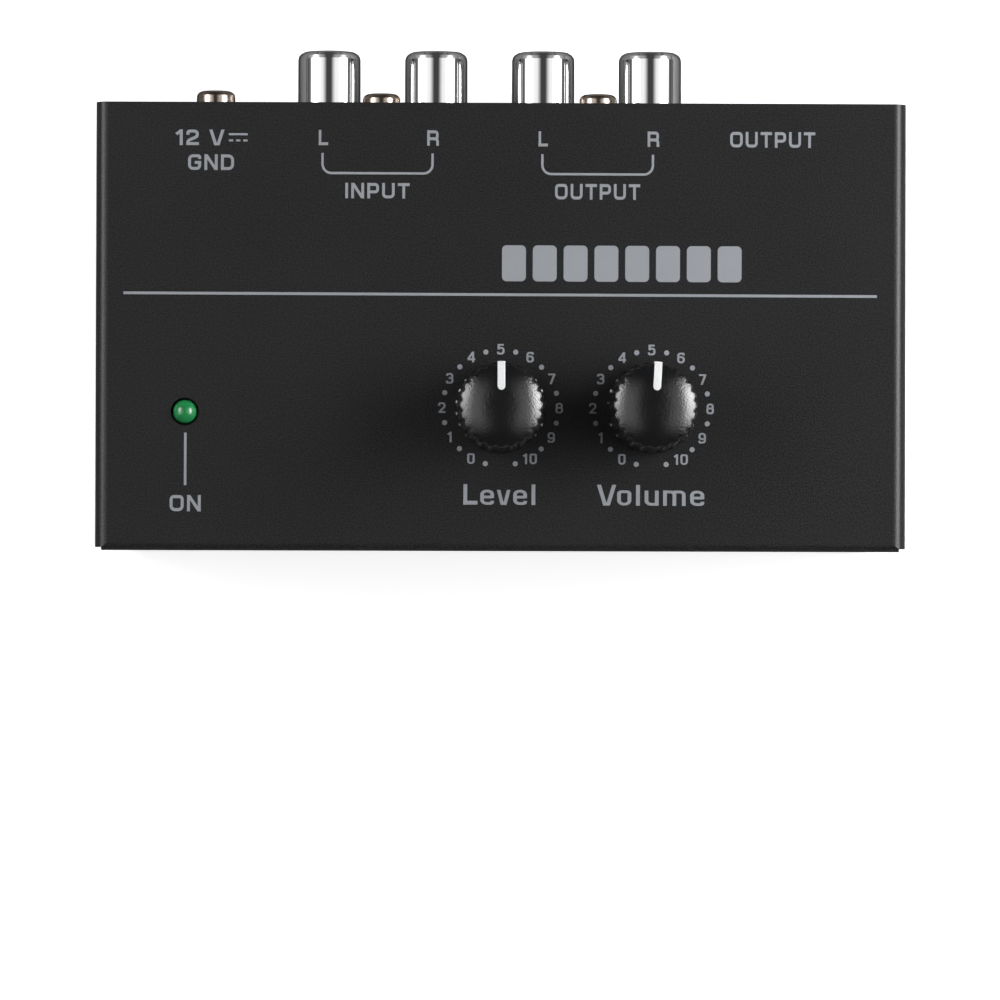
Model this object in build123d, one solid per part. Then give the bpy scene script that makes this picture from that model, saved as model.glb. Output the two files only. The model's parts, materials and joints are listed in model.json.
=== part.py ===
import os
from math import atan, cos, degrees, radians, sin

from build123d import *

# Phono preamp in a folded steel case. Millimetres, +Z up, the connectors face +Y.
# The origin is on the surface that the feet stand on, in the middle of the whole
# object's width and depth, jacks included.

# ---------------------------------------------------------------- case
case_width = 106.5          # over the cover's sides
case_depth = 58.85           # front fold to the cover's rear edge
case_height = 33.0          # underside of the base to the top face
foot_height = 2.0
foot_radius = 4.0
foot_inset = 12.0           # foot centre to the case's sides, front and rear
foot_chamfer = 0.5
cover_sheet = 0.8
base_sheet = 0.8
side_bend = 1.7             # outer radius of the cover's side folds
front_bend = 1.0            # outer radius of the cover's front fold
base_bend = 1.2             # outer radius of every fold of the base
corner_relief = 0.9         # the front fold stops this far from the cover's sides
fold_step = 0.4             # the sides' front edges stand behind the front fold
sheet_gap = 0.15            # between the cover and the base inside it
rear_inset = 0.3            # rear panel behind the cover's rear edge
flange_height = 8.0         # the base's side and front flanges

# ---------------------------------------------------------------- fasteners, M3
thread_radius = 1.45
thread_clearance = 0.1      # screw shank to the hole it passes or taps
case_head_radius = 2.75
case_head_height = 1.9
case_screw_length = 4.0     # under the head
case_screw_from_middle = 16.0
case_screw_over_base = 3.6  # above the base's underside
head_round = 0.8            # radius of a screw head's upper edge
cross_span = 2.4            # cross recess in the visible heads
cross_width = 0.6
recess_depth = 1.0

# ---------------------------------------------------------------- board
standoff_height = 5.0
standoff_flats = 5.5
standoff_step = 0.6         # spigot let into the base, inside the flats
standoff_from_side = 5.8    # standoff centre to the cover's side
standoff_from_front = 6.5
standoff_from_rear = 8.0
board_thickness = 1.6
board_gap = 1.0             # board edge to the base's flanges
board_screw_radius = 2.6
board_screw_height = 1.8
board_screw_grip = 3.5      # thread in the standoff
board_corner = 1.5
tail_length = 1.2           # solder tails below the board
tail_clearance = 0.15
blade_width = 1.2           # flat tails of the inlet and the 6.35 mm jack
blade_sheet = 0.6
blade_seat = 1.0            # blade let into its jack's body

# ---------------------------------------------------------------- phono jacks
pair_gap = 1.0              # between the two pairs' bodies
line_gap = 0.3              # output pair's body to the 6.35 mm jack
jack_pitch = 14.4
jack_over_board = 9.3       # jack axis above the board
shell_radius = 4.2
shell_wall = 0.5
shell_neck_step = 0.25      # thinner inside the body, behind the collar
jack_reach = 8.15            # shell mouth behind the cover's rear edge
mouth_round = 1.0           # the shell's mouth rolls in
shell_flange_width = 1.05
shell_flange = 0.5
shell_tail_root = 1.0       # the tail's top inside the flange
shell_tail_width = 1.4
contact_bore = 1.62
contact_wall = 0.43
contact_recess = 1.4        # contact behind the shell's mouth
insert_recess = 0.7         # coloured insert behind the shell's mouth
contact_floor = 1.0         # bottom of the contact's bore
contact_slot = 0.4
contact_rim = 0.8           # contact's foot beyond its tube
contact_plate = 0.5
contact_tail_width = 1.0
insert_behind = 2.0         # insert behind the shell's flange
insert_lip = 0.6            # inward lip round the contact's mouth
seat_gap = 0.05             # between round pieces that sit in each other
jack_body_depth = 12.0
jack_side_room = 0.5        # shell's flange to the body's side walls
jack_top_room = 0.2         # shell's flange to the body's top wall
jack_front_wall = 3.0
jack_wall = 1.2
jack_edge = 1.0             # rounding along the body's top
collar_wall = 0.9
collar_proud = 0.4          # collar beyond the rear panel
jack_screw_rise = 8.3       # screw above the jack axes
jack_screw_head_radius = 2.48
jack_screw_head_height = 2.1
jack_screw_length = 7.0
screw_hole_spare = 0.4      # blind holes beyond the screw's end
boss_radius = 3.6
boss_end = 0.8
panel_clearance = 0.2       # round holes in the rear panel

# ---------------------------------------------------------------- 12 V inlet
dc_from_side = 15.35
dc_width = 9.0
dc_depth = 13.6
dc_height = 11.0
dc_over_board = 6.4
dc_bore = 3.15
dc_nose_wall = 0.8
dc_bore_depth = 9.5
dc_pin_radius = 1.0
dc_pin_length = 8.6
dc_pin_head = 0.4           # rivet head behind the body
dc_chamfer = 1.6
dc_rear_tail = 1.4          # rear tail to the body's back
dc_front_tail = 6.1         # front tail to the rear panel
dc_side_tail = 1.2          # third tail to the body's side

# ---------------------------------------------------------------- ground terminal
ground_over_board = 17.6
ground_head_radius = 2.55
ground_head_height = 1.8
ground_washer_radius = 3.0
ground_washer = 0.6
ground_screw_length = 8.0
ground_fit = 0.07           # thread in the bracket, radial
bracket_sheet = 1.0
bracket_leg = 2.2           # width of the leg beside the inlet
bracket_clear = 0.4         # leg and plate to the inlet's body
bracket_reach = 4.0         # plate beyond the screw's axis
bracket_nut = 2.6           # thickness at the tapped boss
bracket_boss_radius = 3.0
bracket_over_screw = 4.0    # top edge above the screw's axis
bracket_corner = 2.0
bracket_foot = 5.0          # foot on the board, from the rear panel

# ---------------------------------------------------------------- 6.35 mm jack
line_from_side = 17.65
line_width = 17.0
line_depth = 29.0
line_height = 17.4
line_over_board = 9.0
line_bore = 3.25
line_bore_depth = 27.0
line_edge = 1.5             # rounding along the body's top
line_tail_side = 6.1        # tails to the jack's axis
line_tail_pitch = 10.15
line_first_tail = 5.8       # to the rear panel
ferrule_wall = 1.45
line_nose_wall = 0.85
ferrule_length = 6.0
ferrule_lip = 0.5
spring_width = 1.6
spring_sheet = 0.4
spring_clear = 0.35         # spring to the plug's path
spring_side_gap = 0.2       # spring to its slot
spring_root = 1.0           # root to the body's side
spring_ends = 2.0           # slot's ends to the ferrule and the body's back
spring_tip = 1.2            # free end turned out from the plug's path
spring_bend = 1.0

# ---------------------------------------------------------------- controls
volume_from_side = 33.45
knob_spacing = 19.8
knob_from_front = 18.8
level_turn = 0.0            # pointer's angle, clockwise from straight back
volume_turn = 4.5
pot_width = 9.8
pot_depth = 11.4
pot_height = 6.6
pot_corner = 0.8
terminal_row = 4.1          # each row of terminals to the shaft's axis
rotor_width = 1.0           # beyond the shaft
rotor_height = 1.2
rotor_gap = 0.15
bushing_plate = 0.8
bushing_wall = 0.45
bushing_height = 5.0
bushing_chamfer = 0.3
shaft_radius = 3.0
shaft_fit = 0.05            # shaft in its bushing, radial
shaft_slot = 0.9
shaft_slot_depth = 7.0
shaft_chamfer = 0.4
panel_hole_gap = 0.9        # shaft to the hole in the cover
terminal_pitch = 2.5
terminal_width = 0.8
terminal_sheet = 0.5

# ---------------------------------------------------------------- knobs
knob_gap = 0.6              # knob over the top face
knob_height = 13.5
knob_foot_radius = 5.96
knob_edge_radius = 5.46     # where the side meets the crown
knob_crown = 1.3
flute_count = 24
flute_radius = 0.62
flute_depth = 0.16
knob_grip = 10.4            # shaft length inside the knob
knob_bore_gap = 0.02
knob_wall = 1.0
knob_hub_wall = 0.9
knob_well_depth = 7.3
pointer_width = 1.1
pointer_start = 1.75        # inner end of the pointer from the knob's axis
pointer_depth = 0.5
pointer_proud = 0.04
pointer_drop = 3.0          # down the knob's side

# ---------------------------------------------------------------- power light
led_from_side = 11.85
led_from_front = 18.2
led_radius = 1.55
led_hole_gap = 0.28
led_proud = 1.1
led_length = 5.3
led_flange_width = 0.4
led_flange = 1.0
led_wire = 0.5
led_wire_pitch = 1.5
spacer_wall = 1.0

# ---------------------------------------------------------------- board components
chip_length = 9.8
chip_width = 6.3
chip_height = 3.3
chip_lift = 0.5
chip_chamfer = 0.6
chip_pins = 4               # on each side
chip_pitch = 2.54
chip_leg_reach = 1.4
chip_leg_width = 0.6
chip_leg_sheet = 0.3
chips_behind_knobs = 14.5
can_radius = 3.15
can_height = 11.0
can_chamfer = 0.5
can_pitch = 8.0
cans_before_knobs = 3.0
film_length = 7.2
film_width = 2.6
film_height = 6.6
film_corner = 0.4
film_pitch = 5.0
films_behind_knobs = 6.0
resistor_length = 3.6
resistor_radius = 0.85
resistor_lift = 0.3
resistor_pitch = 7.6
resistors_before_knobs = 10.5
row_start = 11.0            # left end of the rows to the middle of the inputs
regulator_radius = 2.3
regulator_flat = 1.3        # flat face to the regulator's axis
regulator_height = 4.6
regulator_lift = 2.0
regulator_pitch = 1.27
regulator_behind_knobs = 16.0
wire_width = 0.5
leg_reach = 1.0

# ---------------------------------------------------------------- derived places
front_y = -(case_depth + jack_reach) / 2
rear_y = front_y + case_depth
middle_y = (front_y + rear_y) / 2
top_z = foot_height + case_height
ceiling_z = top_z - cover_sheet
floor_z = foot_height + base_sheet
board_low = floor_z + standoff_height
board_top = board_low + board_thickness
tail_z = board_low - tail_length

cover_inner_x = case_width / 2 - cover_sheet
base_x = cover_inner_x - sheet_gap
base_inner_x = base_x - base_sheet
base_front = front_y + cover_sheet + sheet_gap
rear_face = rear_y - rear_inset
rear_inner = rear_face - base_sheet
board_x = base_inner_x - board_gap
board_front = base_front + base_sheet + board_gap
board_rear = rear_inner - board_gap

shell_neck_radius = shell_radius - shell_neck_step
shell_flange_radius = shell_neck_radius + shell_flange_width
collar_radius = shell_neck_radius + seat_gap + collar_wall
jack_body_side = shell_flange_radius + jack_side_room + jack_wall
jack_body_top = shell_flange_radius + jack_top_room + jack_wall

dc_x = dc_from_side - case_width / 2
line_x = case_width / 2 - line_from_side
pair_half = jack_pitch / 2 + jack_body_side
output_x = line_x - line_width / 2 - line_gap - pair_half
input_x = output_x - pair_half * 2 - pair_gap
jack_z = board_top + jack_over_board
jack_screw_z = jack_z + jack_screw_rise
dc_z = board_top + dc_over_board
ground_z = board_top + ground_over_board
line_z = board_top + line_over_board
volume_x = case_width / 2 - volume_from_side
level_x = volume_x - knob_spacing
knob_y = front_y + knob_from_front
led_x = led_from_side - case_width / 2
led_y = front_y + led_from_front
standoff_x = case_width / 2 - standoff_from_side
pot_top = board_top + pot_height
rotor_radius = shaft_radius + rotor_width
bushing_radius = shaft_radius + shaft_fit + bushing_wall
led_hole = led_radius + led_hole_gap
led_flange_radius = led_radius + led_flange_width
spacer_radius = led_flange_radius + spacer_wall / 2
spacer_bore = led_flange_radius - spacer_wall / 2
contact_radius = contact_bore + contact_wall
dc_nose_radius = dc_bore + dc_nose_wall
ferrule_radius = line_bore + ferrule_wall
line_nose_radius = ferrule_radius + seat_gap + line_nose_wall
shaft_top = top_z + knob_gap + knob_grip
case_screw_z = foot_height + case_screw_over_base

standoffs = [
    (side * standoff_x, y)
    for side in (-1, 1)
    for y in (front_y + standoff_from_front, rear_y - standoff_from_rear)
]
case_screws = [
    (side, middle_y + end * case_screw_from_middle) for side in (-1, 1) for end in (-1, 1)
]


# ---------------------------------------------------------------- helpers
def span(x0, x1, y0, y1, z0, z1):
    size = Box(x1 - x0, y1 - y0, z1 - z0)
    return Pos((x0 + x1) / 2, (y0 + y1) / 2, (z0 + z1) / 2) * size


def rod_up(x, y, z0, z1, radius):
    return Pos(x, y, (z0 + z1) / 2) * Cylinder(radius, z1 - z0)


def rod_back(x, z, y0, y1, radius):
    return Pos(x, (y0 + y1) / 2, z) * Rot(90, 0, 0) * Cylinder(radius, y1 - y0)


def rod_side(x0, x1, y, z, radius):
    return Pos((x0 + x1) / 2, y, z) * Rot(0, 90, 0) * Cylinder(radius, abs(x1 - x0))


def turned(points):
    # A turned piece about Z: points are (radius, height) from the axis and back to it.
    outline = make_face(Plane.XZ * Polyline(*points, close=True))
    return revolve(outline, Axis.Z)


def facing_back(piece, x, y, z):
    # A piece drawn along +Z is laid along +Y with its start at (x, y, z).
    return Pos(x, y, z) * Rot(-90, 0, 0) * piece


def corner_nearest(sketch, x, y):
    return sketch.vertices().sort_by_distance((x, y, 0))[0]


def channel_outline(width, height, bend):
    # Flat top on y = 0 with its two corners rounded.
    block = Rectangle(width, height, align=(Align.CENTER, Align.MAX))
    return fillet(block.vertices().group_by(Axis.Y)[-1], bend)


def channel_profile(width, height, bend, sheet):
    # Flat web at the top on y = 0, two legs down, folds rounded inside and out.
    inner = channel_outline(width - 2 * sheet, height, bend - sheet)
    return channel_outline(width, height, bend) - Pos(0, -sheet) * inner


def angle_profile(run, drop, bend, sheet):
    # Corner at the origin, one leg along +x, the other down -y.
    corner = (Align.MIN, Align.MAX)
    outer = Rectangle(run, drop, align=corner)
    outer = fillet(corner_nearest(outer, 0, 0), bend)
    inner = Pos(sheet, -sheet) * Rectangle(run, drop, align=corner)
    inner = fillet(corner_nearest(inner, sheet, -sheet), bend - sheet)
    return outer - inner


def pan_screw(head_radius, head_height, length, shank_radius, crossed=True):
    # Stands on z = 0 with its shank down and its head up.
    screw = turned([
        (0, -length), (shank_radius, -length), (shank_radius, 0), (head_radius, 0),
        (head_radius, head_height), (0, head_height),
    ])
    rim = screw.edges().filter_by(GeomType.CIRCLE).sort_by(Axis.Z)[-1:]
    screw = fillet(rim, head_round)
    if crossed:
        arm = Box(cross_span, cross_width, recess_depth * 2)
        screw -= Pos(0, 0, head_height) * (arm + Rot(0, 0, 90) * arm)
    return screw


def tail_slots(places, width, depth):
    # Slots through the board for flat tails of this width and depth.
    half_x, half_y = width / 2 + tail_clearance, depth / 2 + tail_clearance
    return [span(x - half_x, x + half_x, y - half_y, y + half_y, board_low - 1, board_top + 1)
            for x, y in places]


def tails(places, width, depth, top):
    # Flat solder tails from a height down through the board.
    return [span(x - width / 2, x + width / 2, y - depth / 2, y + depth / 2, tail_z, top)
            for x, y in places]


# ---------------------------------------------------------------- case
def make_cover():
    low = foot_height + sheet_gap
    sides = Plane.XZ.offset(-rear_y) * channel_profile(case_width, top_z - low, side_bend, cover_sheet)
    sides = Pos(0, 0, top_z) * extrude(sides, case_depth - fold_step)

    run = front_bend * 3
    front_x = case_width / 2 - corner_relief
    fold = Plane.YZ * Pos(front_y, top_z) * angle_profile(run, top_z - low, front_bend, cover_sheet)
    front = extrude(fold, front_x, both=True)
    opening = span(-front_x, front_x, front_y - 1, front_y + run, low, top_z + 1)
    outline = Plane.XZ.offset(-rear_y) * channel_outline(case_width, top_z - low, side_bend)
    front &= Pos(0, 0, top_z) * extrude(outline, case_depth)
    cover = sides - opening + front

    for x in (level_x, volume_x):
        cover -= rod_up(x, knob_y, ceiling_z - 1, top_z + 1, shaft_radius + panel_hole_gap)
    cover -= rod_up(led_x, led_y, ceiling_z - 1, top_z + 1, led_hole)
    for side, y in case_screws:
        hole = thread_radius + thread_clearance * 2
        cover -= rod_side(side * cover_inner_x - side, side * case_width / 2 + side, y, case_screw_z, hole)
    return cover


def make_base():
    # Rear panel: full height, with its top corners clear of the cover's inner folds.
    panel_top = ceiling_z - sheet_gap
    flange_rear = rear_inner - base_bend
    rear = angle_profile(rear_face - flange_rear, panel_top - foot_height, base_bend, base_sheet)
    rear = extrude(Plane.YZ * Pos(rear_face, foot_height) * Rot(0, 0, 180) * rear, base_x, both=True)
    rear = fillet(rear.edges().filter_by(Axis.Y).group_by(Axis.Z)[-1], side_bend)
    for side in (-1, 1):
        notch_x = side * (base_x - base_bend)
        rear -= span(min(notch_x, side * case_width), max(notch_x, side * case_width),
                     flange_rear - 1, rear_face - base_bend, foot_height - 1, foot_height + base_bend)

    # Floor with the two side flanges.
    flange_front = base_front + base_bend * 2
    tray = channel_profile(base_x * 2, flange_height, base_bend, base_sheet)
    tray = extrude(Plane.XZ.offset(-flange_rear) * Rot(0, 0, 180) * tray, flange_rear - flange_front)
    tray = Pos(0, 0, foot_height) * tray

    # Front flange, between the ends of the side flanges.
    front = mirror(angle_profile(base_bend * 2, flange_height, base_bend, base_sheet), about=Plane.XZ)
    front = extrude(Plane.YZ * Pos(base_front, foot_height) * front, base_x - base_bend, both=True)
    base = tray + front + rear

    for x in (input_x, output_x):
        for side in (-1, 1):
            hole = collar_radius + panel_clearance
            base -= rod_back(x + side * jack_pitch / 2, jack_z, rear_inner - 1, rear_face + 1, hole)
        base -= rod_back(x, jack_screw_z, rear_inner - 1, rear_face + 1, thread_radius + panel_clearance)
    base -= rod_back(dc_x, dc_z, rear_inner - 1, rear_face + 1, dc_nose_radius + panel_clearance)
    base -= rod_back(dc_x, ground_z, rear_inner - 1, rear_face + 1, thread_radius + panel_clearance)
    base -= rod_back(line_x, line_z, rear_inner - 1, rear_face + 1, line_nose_radius + panel_clearance)
    for side, y in case_screws:
        hole = thread_radius + thread_clearance
        base -= rod_side(side * base_inner_x - side, side * base_x + side, y, case_screw_z, hole)
    for x, y in standoffs:
        base -= rod_up(x, y, foot_height - 1, floor_z + 1, standoff_flats / 2 - standoff_step)
    return base


def make_case_screws():
    screw = pan_screw(case_head_radius, case_head_height, case_screw_length, thread_radius)
    return [
        Pos(side * case_width / 2, y, case_screw_z) * Rot(0, side * 90, 0) * screw
        for side, y in case_screws
    ]


def make_feet():
    foot = Pos(0, 0, foot_height / 2) * Cylinder(foot_radius, foot_height)
    foot = chamfer(foot.edges().filter_by(GeomType.CIRCLE).sort_by(Axis.Z)[:1], foot_chamfer)
    x = case_width / 2 - foot_inset
    ys = (front_y + foot_inset, rear_y - foot_inset)
    return [Pos(side * x, y, 0) * foot for side in (-1, 1) for y in ys]


# ---------------------------------------------------------------- board
def jack_tail_places(pair_x):
    contact_y = contact_start() - contact_plate / 2
    shell_y = rear_inner - jack_front_wall - shell_flange / 2
    xs = [pair_x + side * jack_pitch / 2 for side in (-1, 1)]
    return [(x, contact_y) for x in xs], [(x, shell_y) for x in xs]


def pot_terminal_places(x):
    return [
        (x + column * terminal_pitch, knob_y + row * terminal_row)
        for column in (-1, 0, 1)
        for row in (-1, 1)
    ]


def dc_tail_places():
    front, back = rear_inner - dc_front_tail, rear_inner - dc_depth + dc_rear_tail
    return [(dc_x, back), (dc_x, front), (dc_x + dc_width / 2 - dc_side_tail, (front + back) / 2)]


def line_tail_places():
    rows = [rear_inner - line_first_tail - line_tail_pitch * index for index in range(3)]
    return [(line_x + side * line_tail_side, y) for side in (-1, 1) for y in rows]


def led_wire_places():
    return [(led_x + side * led_wire_pitch / 2, led_y) for side in (-1, 1)]


def make_board():
    board = span(-board_x, board_x, board_front, board_rear, board_low, board_top)
    board = chamfer(board.edges().filter_by(Axis.Z), board_corner)
    holes = []
    for x in (input_x, output_x):
        contacts, shells = jack_tail_places(x)
        holes += tail_slots(contacts, contact_tail_width, contact_plate)
        holes += tail_slots(shells, shell_tail_width, shell_flange)
    for x in (level_x, volume_x):
        holes += tail_slots(pot_terminal_places(x), terminal_width, terminal_sheet)
    for places in (dc_tail_places(), line_tail_places()):
        holes += tail_slots(places, blade_width, blade_sheet)
    holes += tail_slots(led_wire_places(), led_wire, led_wire)
    holes += tail_slots(regulator_wires(), wire_width, wire_width)
    for x, y in standoffs:
        holes.append(rod_up(x, y, board_low - 1, board_top + 1, thread_radius + thread_clearance))
    return board - holes


def make_standoffs():
    body = extrude(RegularPolygon(standoff_flats / 2, 6, major_radius=False), standoff_height)
    spigot = Cylinder(standoff_flats / 2 - standoff_step - seat_gap, base_sheet)
    spigot = Pos(0, 0, -base_sheet / 2) * spigot
    tapped = Pos(0, 0, standoff_height / 2) * Cylinder(thread_radius + thread_clearance, standoff_height)
    piece = body + spigot - tapped
    return [Pos(x, y, floor_z) * piece for x, y in standoffs]


def make_board_screws():
    length = board_thickness + board_screw_grip
    screw = pan_screw(board_screw_radius, board_screw_height, length, thread_radius, crossed=False)
    return [Pos(x, y, board_top) * screw for x, y in standoffs]


# ---------------------------------------------------------------- phono jacks
def make_jack_body(pair_x):
    # One moulding for two jacks: open below and behind, a collar round each shell.
    front = rear_inner
    back = front - jack_body_depth
    top = jack_z + jack_body_top
    body = span(pair_x - pair_half, pair_x + pair_half, back, front, board_top, top)
    body = fillet(body.edges().filter_by(Axis.Y).group_by(Axis.Z)[-1], jack_edge)

    hole_back = front - jack_screw_length - screw_hole_spare
    boss_back = hole_back - boss_end
    body += rod_back(pair_x, jack_screw_z, boss_back, front, boss_radius)
    body += span(pair_x - boss_radius, pair_x + boss_radius, boss_back, front, top - jack_wall, jack_screw_z)
    body -= rod_back(pair_x, jack_screw_z, hole_back, front + 1, thread_radius + thread_clearance)

    collar_end = rear_face + collar_proud
    room = jack_body_side - jack_wall
    for end in (-1, 1):
        x = pair_x + end * jack_pitch / 2
        body -= span(x - room, x + room, back - 1, front - jack_front_wall, board_top - 1, top - jack_wall)
        body += rod_back(x, jack_z, front, collar_end, collar_radius)
        body -= rod_back(x, jack_z, back, collar_end + 1, shell_neck_radius + seat_gap)
    return body


def jack_mouth():
    return rear_y + jack_reach


def contact_start():
    return rear_inner - jack_front_wall - shell_flange - insert_behind


def mouth_points(length):
    # The rolled edge of a shell's mouth, from the outside to the bore.
    middle = shell_radius - mouth_round
    bore = shell_neck_radius - shell_wall
    rolled = [
        (middle + mouth_round * cos(radians(angle)), length + mouth_round * (sin(radians(angle)) - 1))
        for angle in (0, 25, 50)
    ]
    return rolled + [(bore, length)]


def make_shells(pair_x):
    start = rear_inner - jack_front_wall
    neck = rear_face + collar_proud - start
    bore = shell_neck_radius - shell_wall
    shell = turned([
        (bore, -shell_flange), (shell_flange_radius, -shell_flange), (shell_flange_radius, 0),
        (shell_neck_radius, 0), (shell_neck_radius, neck), (shell_radius, neck),
        *mouth_points(jack_mouth() - start),
    ])
    half = shell_tail_width / 2
    tail_top = shell_tail_root - shell_flange_radius
    shell = facing_back(shell, 0, 0, 0) + span(-half, half, -shell_flange, 0, tail_z - jack_z, tail_top)
    return [Pos(pair_x + side * jack_pitch / 2, start, jack_z) * shell for side in (-1, 1)]


def make_insert(pair_x, side):
    start = contact_start()
    length = jack_mouth() - insert_recess - start
    radius = shell_neck_radius - shell_wall - seat_gap
    bore = contact_radius + seat_gap
    lip_bore = contact_bore + seat_gap * 4
    insert = turned([
        (bore, 0), (radius, 0), (radius, length), (lip_bore, length),
        (lip_bore, length - insert_lip), (bore, length - insert_lip),
    ])
    return facing_back(insert, pair_x + side * jack_pitch / 2, start, jack_z)


def make_contacts(pair_x):
    # Turned sleeves, split across the outer half of their length so that they grip.
    start = contact_start()
    length = jack_mouth() - contact_recess - start
    rim = contact_radius + contact_rim
    contact = turned([
        (0, -contact_plate), (rim, -contact_plate), (rim, 0), (contact_radius, 0),
        (contact_radius, length), (contact_bore, length), (contact_bore, contact_floor),
        (0, contact_floor),
    ])
    contact -= Pos(0, 0, length) * Box(contact_radius * 3, contact_slot, length)
    half = contact_tail_width / 2
    tail_top = contact_rim - rim
    contact = facing_back(contact, 0, 0, 0)
    contact += span(-half, half, -contact_plate, 0, tail_z - jack_z, tail_top)
    return [Pos(pair_x + side * jack_pitch / 2, start, jack_z) * contact for side in (-1, 1)]


def make_jack_screws():
    screw = pan_screw(jack_screw_head_radius, jack_screw_head_height, jack_screw_length, thread_radius)
    return [facing_back(screw, x, rear_face, jack_screw_z) for x in (input_x, output_x)]


# ---------------------------------------------------------------- 12 V inlet
def blade_seats(places):
    # Pockets in a jack's underside, a little wider than the blades in them.
    half_x, half_y = blade_width / 2 + seat_gap, blade_sheet / 2 + seat_gap
    return [span(x - half_x, x + half_x, y - half_y, y + half_y, board_top - 1, board_top + blade_seat)
            for x, y in places]


def make_dc_body():
    back = rear_inner - dc_depth
    body = span(dc_x - dc_width / 2, dc_x + dc_width / 2, back, rear_inner, board_top, board_top + dc_height)
    top_edges = body.edges().filter_by(Axis.Y).group_by(Axis.Z)[-1]
    body = chamfer(top_edges, dc_chamfer)
    body += rod_back(dc_x, dc_z, rear_inner, rear_face, dc_nose_radius)
    body -= rod_back(dc_x, dc_z, rear_face - dc_bore_depth, rear_face + 1, dc_bore)
    body -= rod_back(dc_x, dc_z, back - 1, rear_inner, dc_pin_radius + seat_gap)
    return body - blade_seats(dc_tail_places())


def make_dc_pin():
    back = rear_inner - dc_depth
    floor = rear_face - dc_bore_depth
    tip = floor + dc_pin_length
    pin = rod_back(dc_x, dc_z, back, tip, dc_pin_radius)
    pin = chamfer(pin.edges().filter_by(GeomType.CIRCLE).sort_by(Axis.Y)[-1:], dc_pin_radius * 0.5)
    return pin + rod_back(dc_x, dc_z, back - dc_pin_head, back, dc_pin_radius * 2)


def make_dc_contacts():
    return tails(dc_tail_places(), blade_width, blade_sheet, board_top + blade_seat)


# ---------------------------------------------------------------- ground terminal
def make_ground_bracket():
    # A tapped plate over the inlet, on one leg that turns to a foot on the board.
    left = dc_x - dc_width / 2 - bracket_clear - bracket_leg
    front = rear_inner - bracket_sheet
    low = board_top + dc_height + bracket_clear
    plate = span(left, dc_x + bracket_reach, front, rear_inner, low, ground_z + bracket_over_screw)
    plate = fillet(plate.edges().filter_by(Axis.Y).group_by(Axis.Z)[-1], bracket_corner)
    plate += span(left, left + bracket_leg, front, rear_inner, board_top, low)
    plate += span(left, left + bracket_leg, rear_inner - bracket_foot, front, board_top,
                  board_top + bracket_sheet)
    plate += rod_back(dc_x, ground_z, rear_inner - bracket_nut, front, bracket_boss_radius)
    hole = thread_radius + ground_fit
    return plate - rod_back(dc_x, ground_z, rear_inner - bracket_nut - 1, rear_inner + 1, hole)


def make_ground_washer():
    hole = thread_radius + ground_fit
    washer = turned([
        (hole, 0), (ground_washer_radius, 0), (ground_washer_radius, ground_washer), (hole, ground_washer),
    ])
    return facing_back(washer, dc_x, rear_face, ground_z)


def make_ground_screw():
    screw = pan_screw(ground_head_radius, ground_head_height, ground_screw_length, thread_radius)
    return facing_back(screw, dc_x, rear_face + ground_washer, ground_z)


# ---------------------------------------------------------------- 6.35 mm jack
def line_springs():
    # The slots' ends: two long springs, one on each side of the plug's path.
    front = rear_inner - ferrule_length - spring_ends
    return front, rear_inner - line_depth + spring_ends


def make_line_body():
    half = line_width / 2
    back = rear_inner - line_depth
    body = span(line_x - half, line_x + half, back, rear_inner, board_top, board_top + line_height)
    body = fillet(body.edges().filter_by(Axis.Y).group_by(Axis.Z)[-1], line_edge)
    body += rod_back(line_x, line_z, rear_inner, rear_face, line_nose_radius)
    body -= rod_back(line_x, line_z, rear_face - line_bore_depth, rear_face + 1, line_bore)
    body -= rod_back(line_x, line_z, rear_face - ferrule_length, rear_face + 1, ferrule_radius + seat_gap)
    spring_front, spring_back = line_springs()
    slot = spring_width / 2 + spring_side_gap
    for side in (-1, 1):
        near = line_x + side * line_bore * 0.8
        far = line_x + side * (half + 1)
        body -= span(min(near, far), max(near, far), spring_back, spring_front, line_z - slot, line_z + slot)
    return body - blade_seats(line_tail_places())


def make_line_ferrule():
    ferrule = turned([
        (line_bore, 0), (ferrule_radius, 0), (ferrule_radius, ferrule_length),
        (line_bore + ferrule_lip, ferrule_length), (line_bore, ferrule_length - ferrule_lip),
    ])
    return facing_back(ferrule, line_x, rear_face - ferrule_length, line_z)


def make_line_springs():
    # Bent strips: a flat root at the back, a bow towards the plug, a free end in front.
    front, back = line_springs()
    near = line_bore + spring_clear + spring_sheet / 2
    far = line_width / 2 - spring_root
    length = front - back
    pieces = []
    for side in (-1, 1):
        path = FilletPolyline(
            (side * far, back), (side * far, back + length * 0.3),
            (side * near, back + length * 0.7),
            (side * (near + spring_tip), front - spring_side_gap), radius=spring_bend)
        strip = Plane((line_x, 0, line_z - spring_width / 2)) * trace(path, spring_sheet)
        pieces.append(extrude(strip, spring_width))
    return pieces + tails(line_tail_places(), blade_width, blade_sheet, board_top + blade_seat)


# ---------------------------------------------------------------- controls
def rotor_low():
    return pot_top - rotor_gap - rotor_height


def make_pot_body(x):
    body = span(x - pot_width / 2, x + pot_width / 2, knob_y - pot_depth / 2, knob_y + pot_depth / 2,
                board_top, pot_top)
    body = chamfer(body.edges().filter_by(Axis.Z), pot_corner)
    return body - rod_up(x, knob_y, rotor_low() - rotor_gap, pot_top + 1, rotor_radius + rotor_gap)


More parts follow.
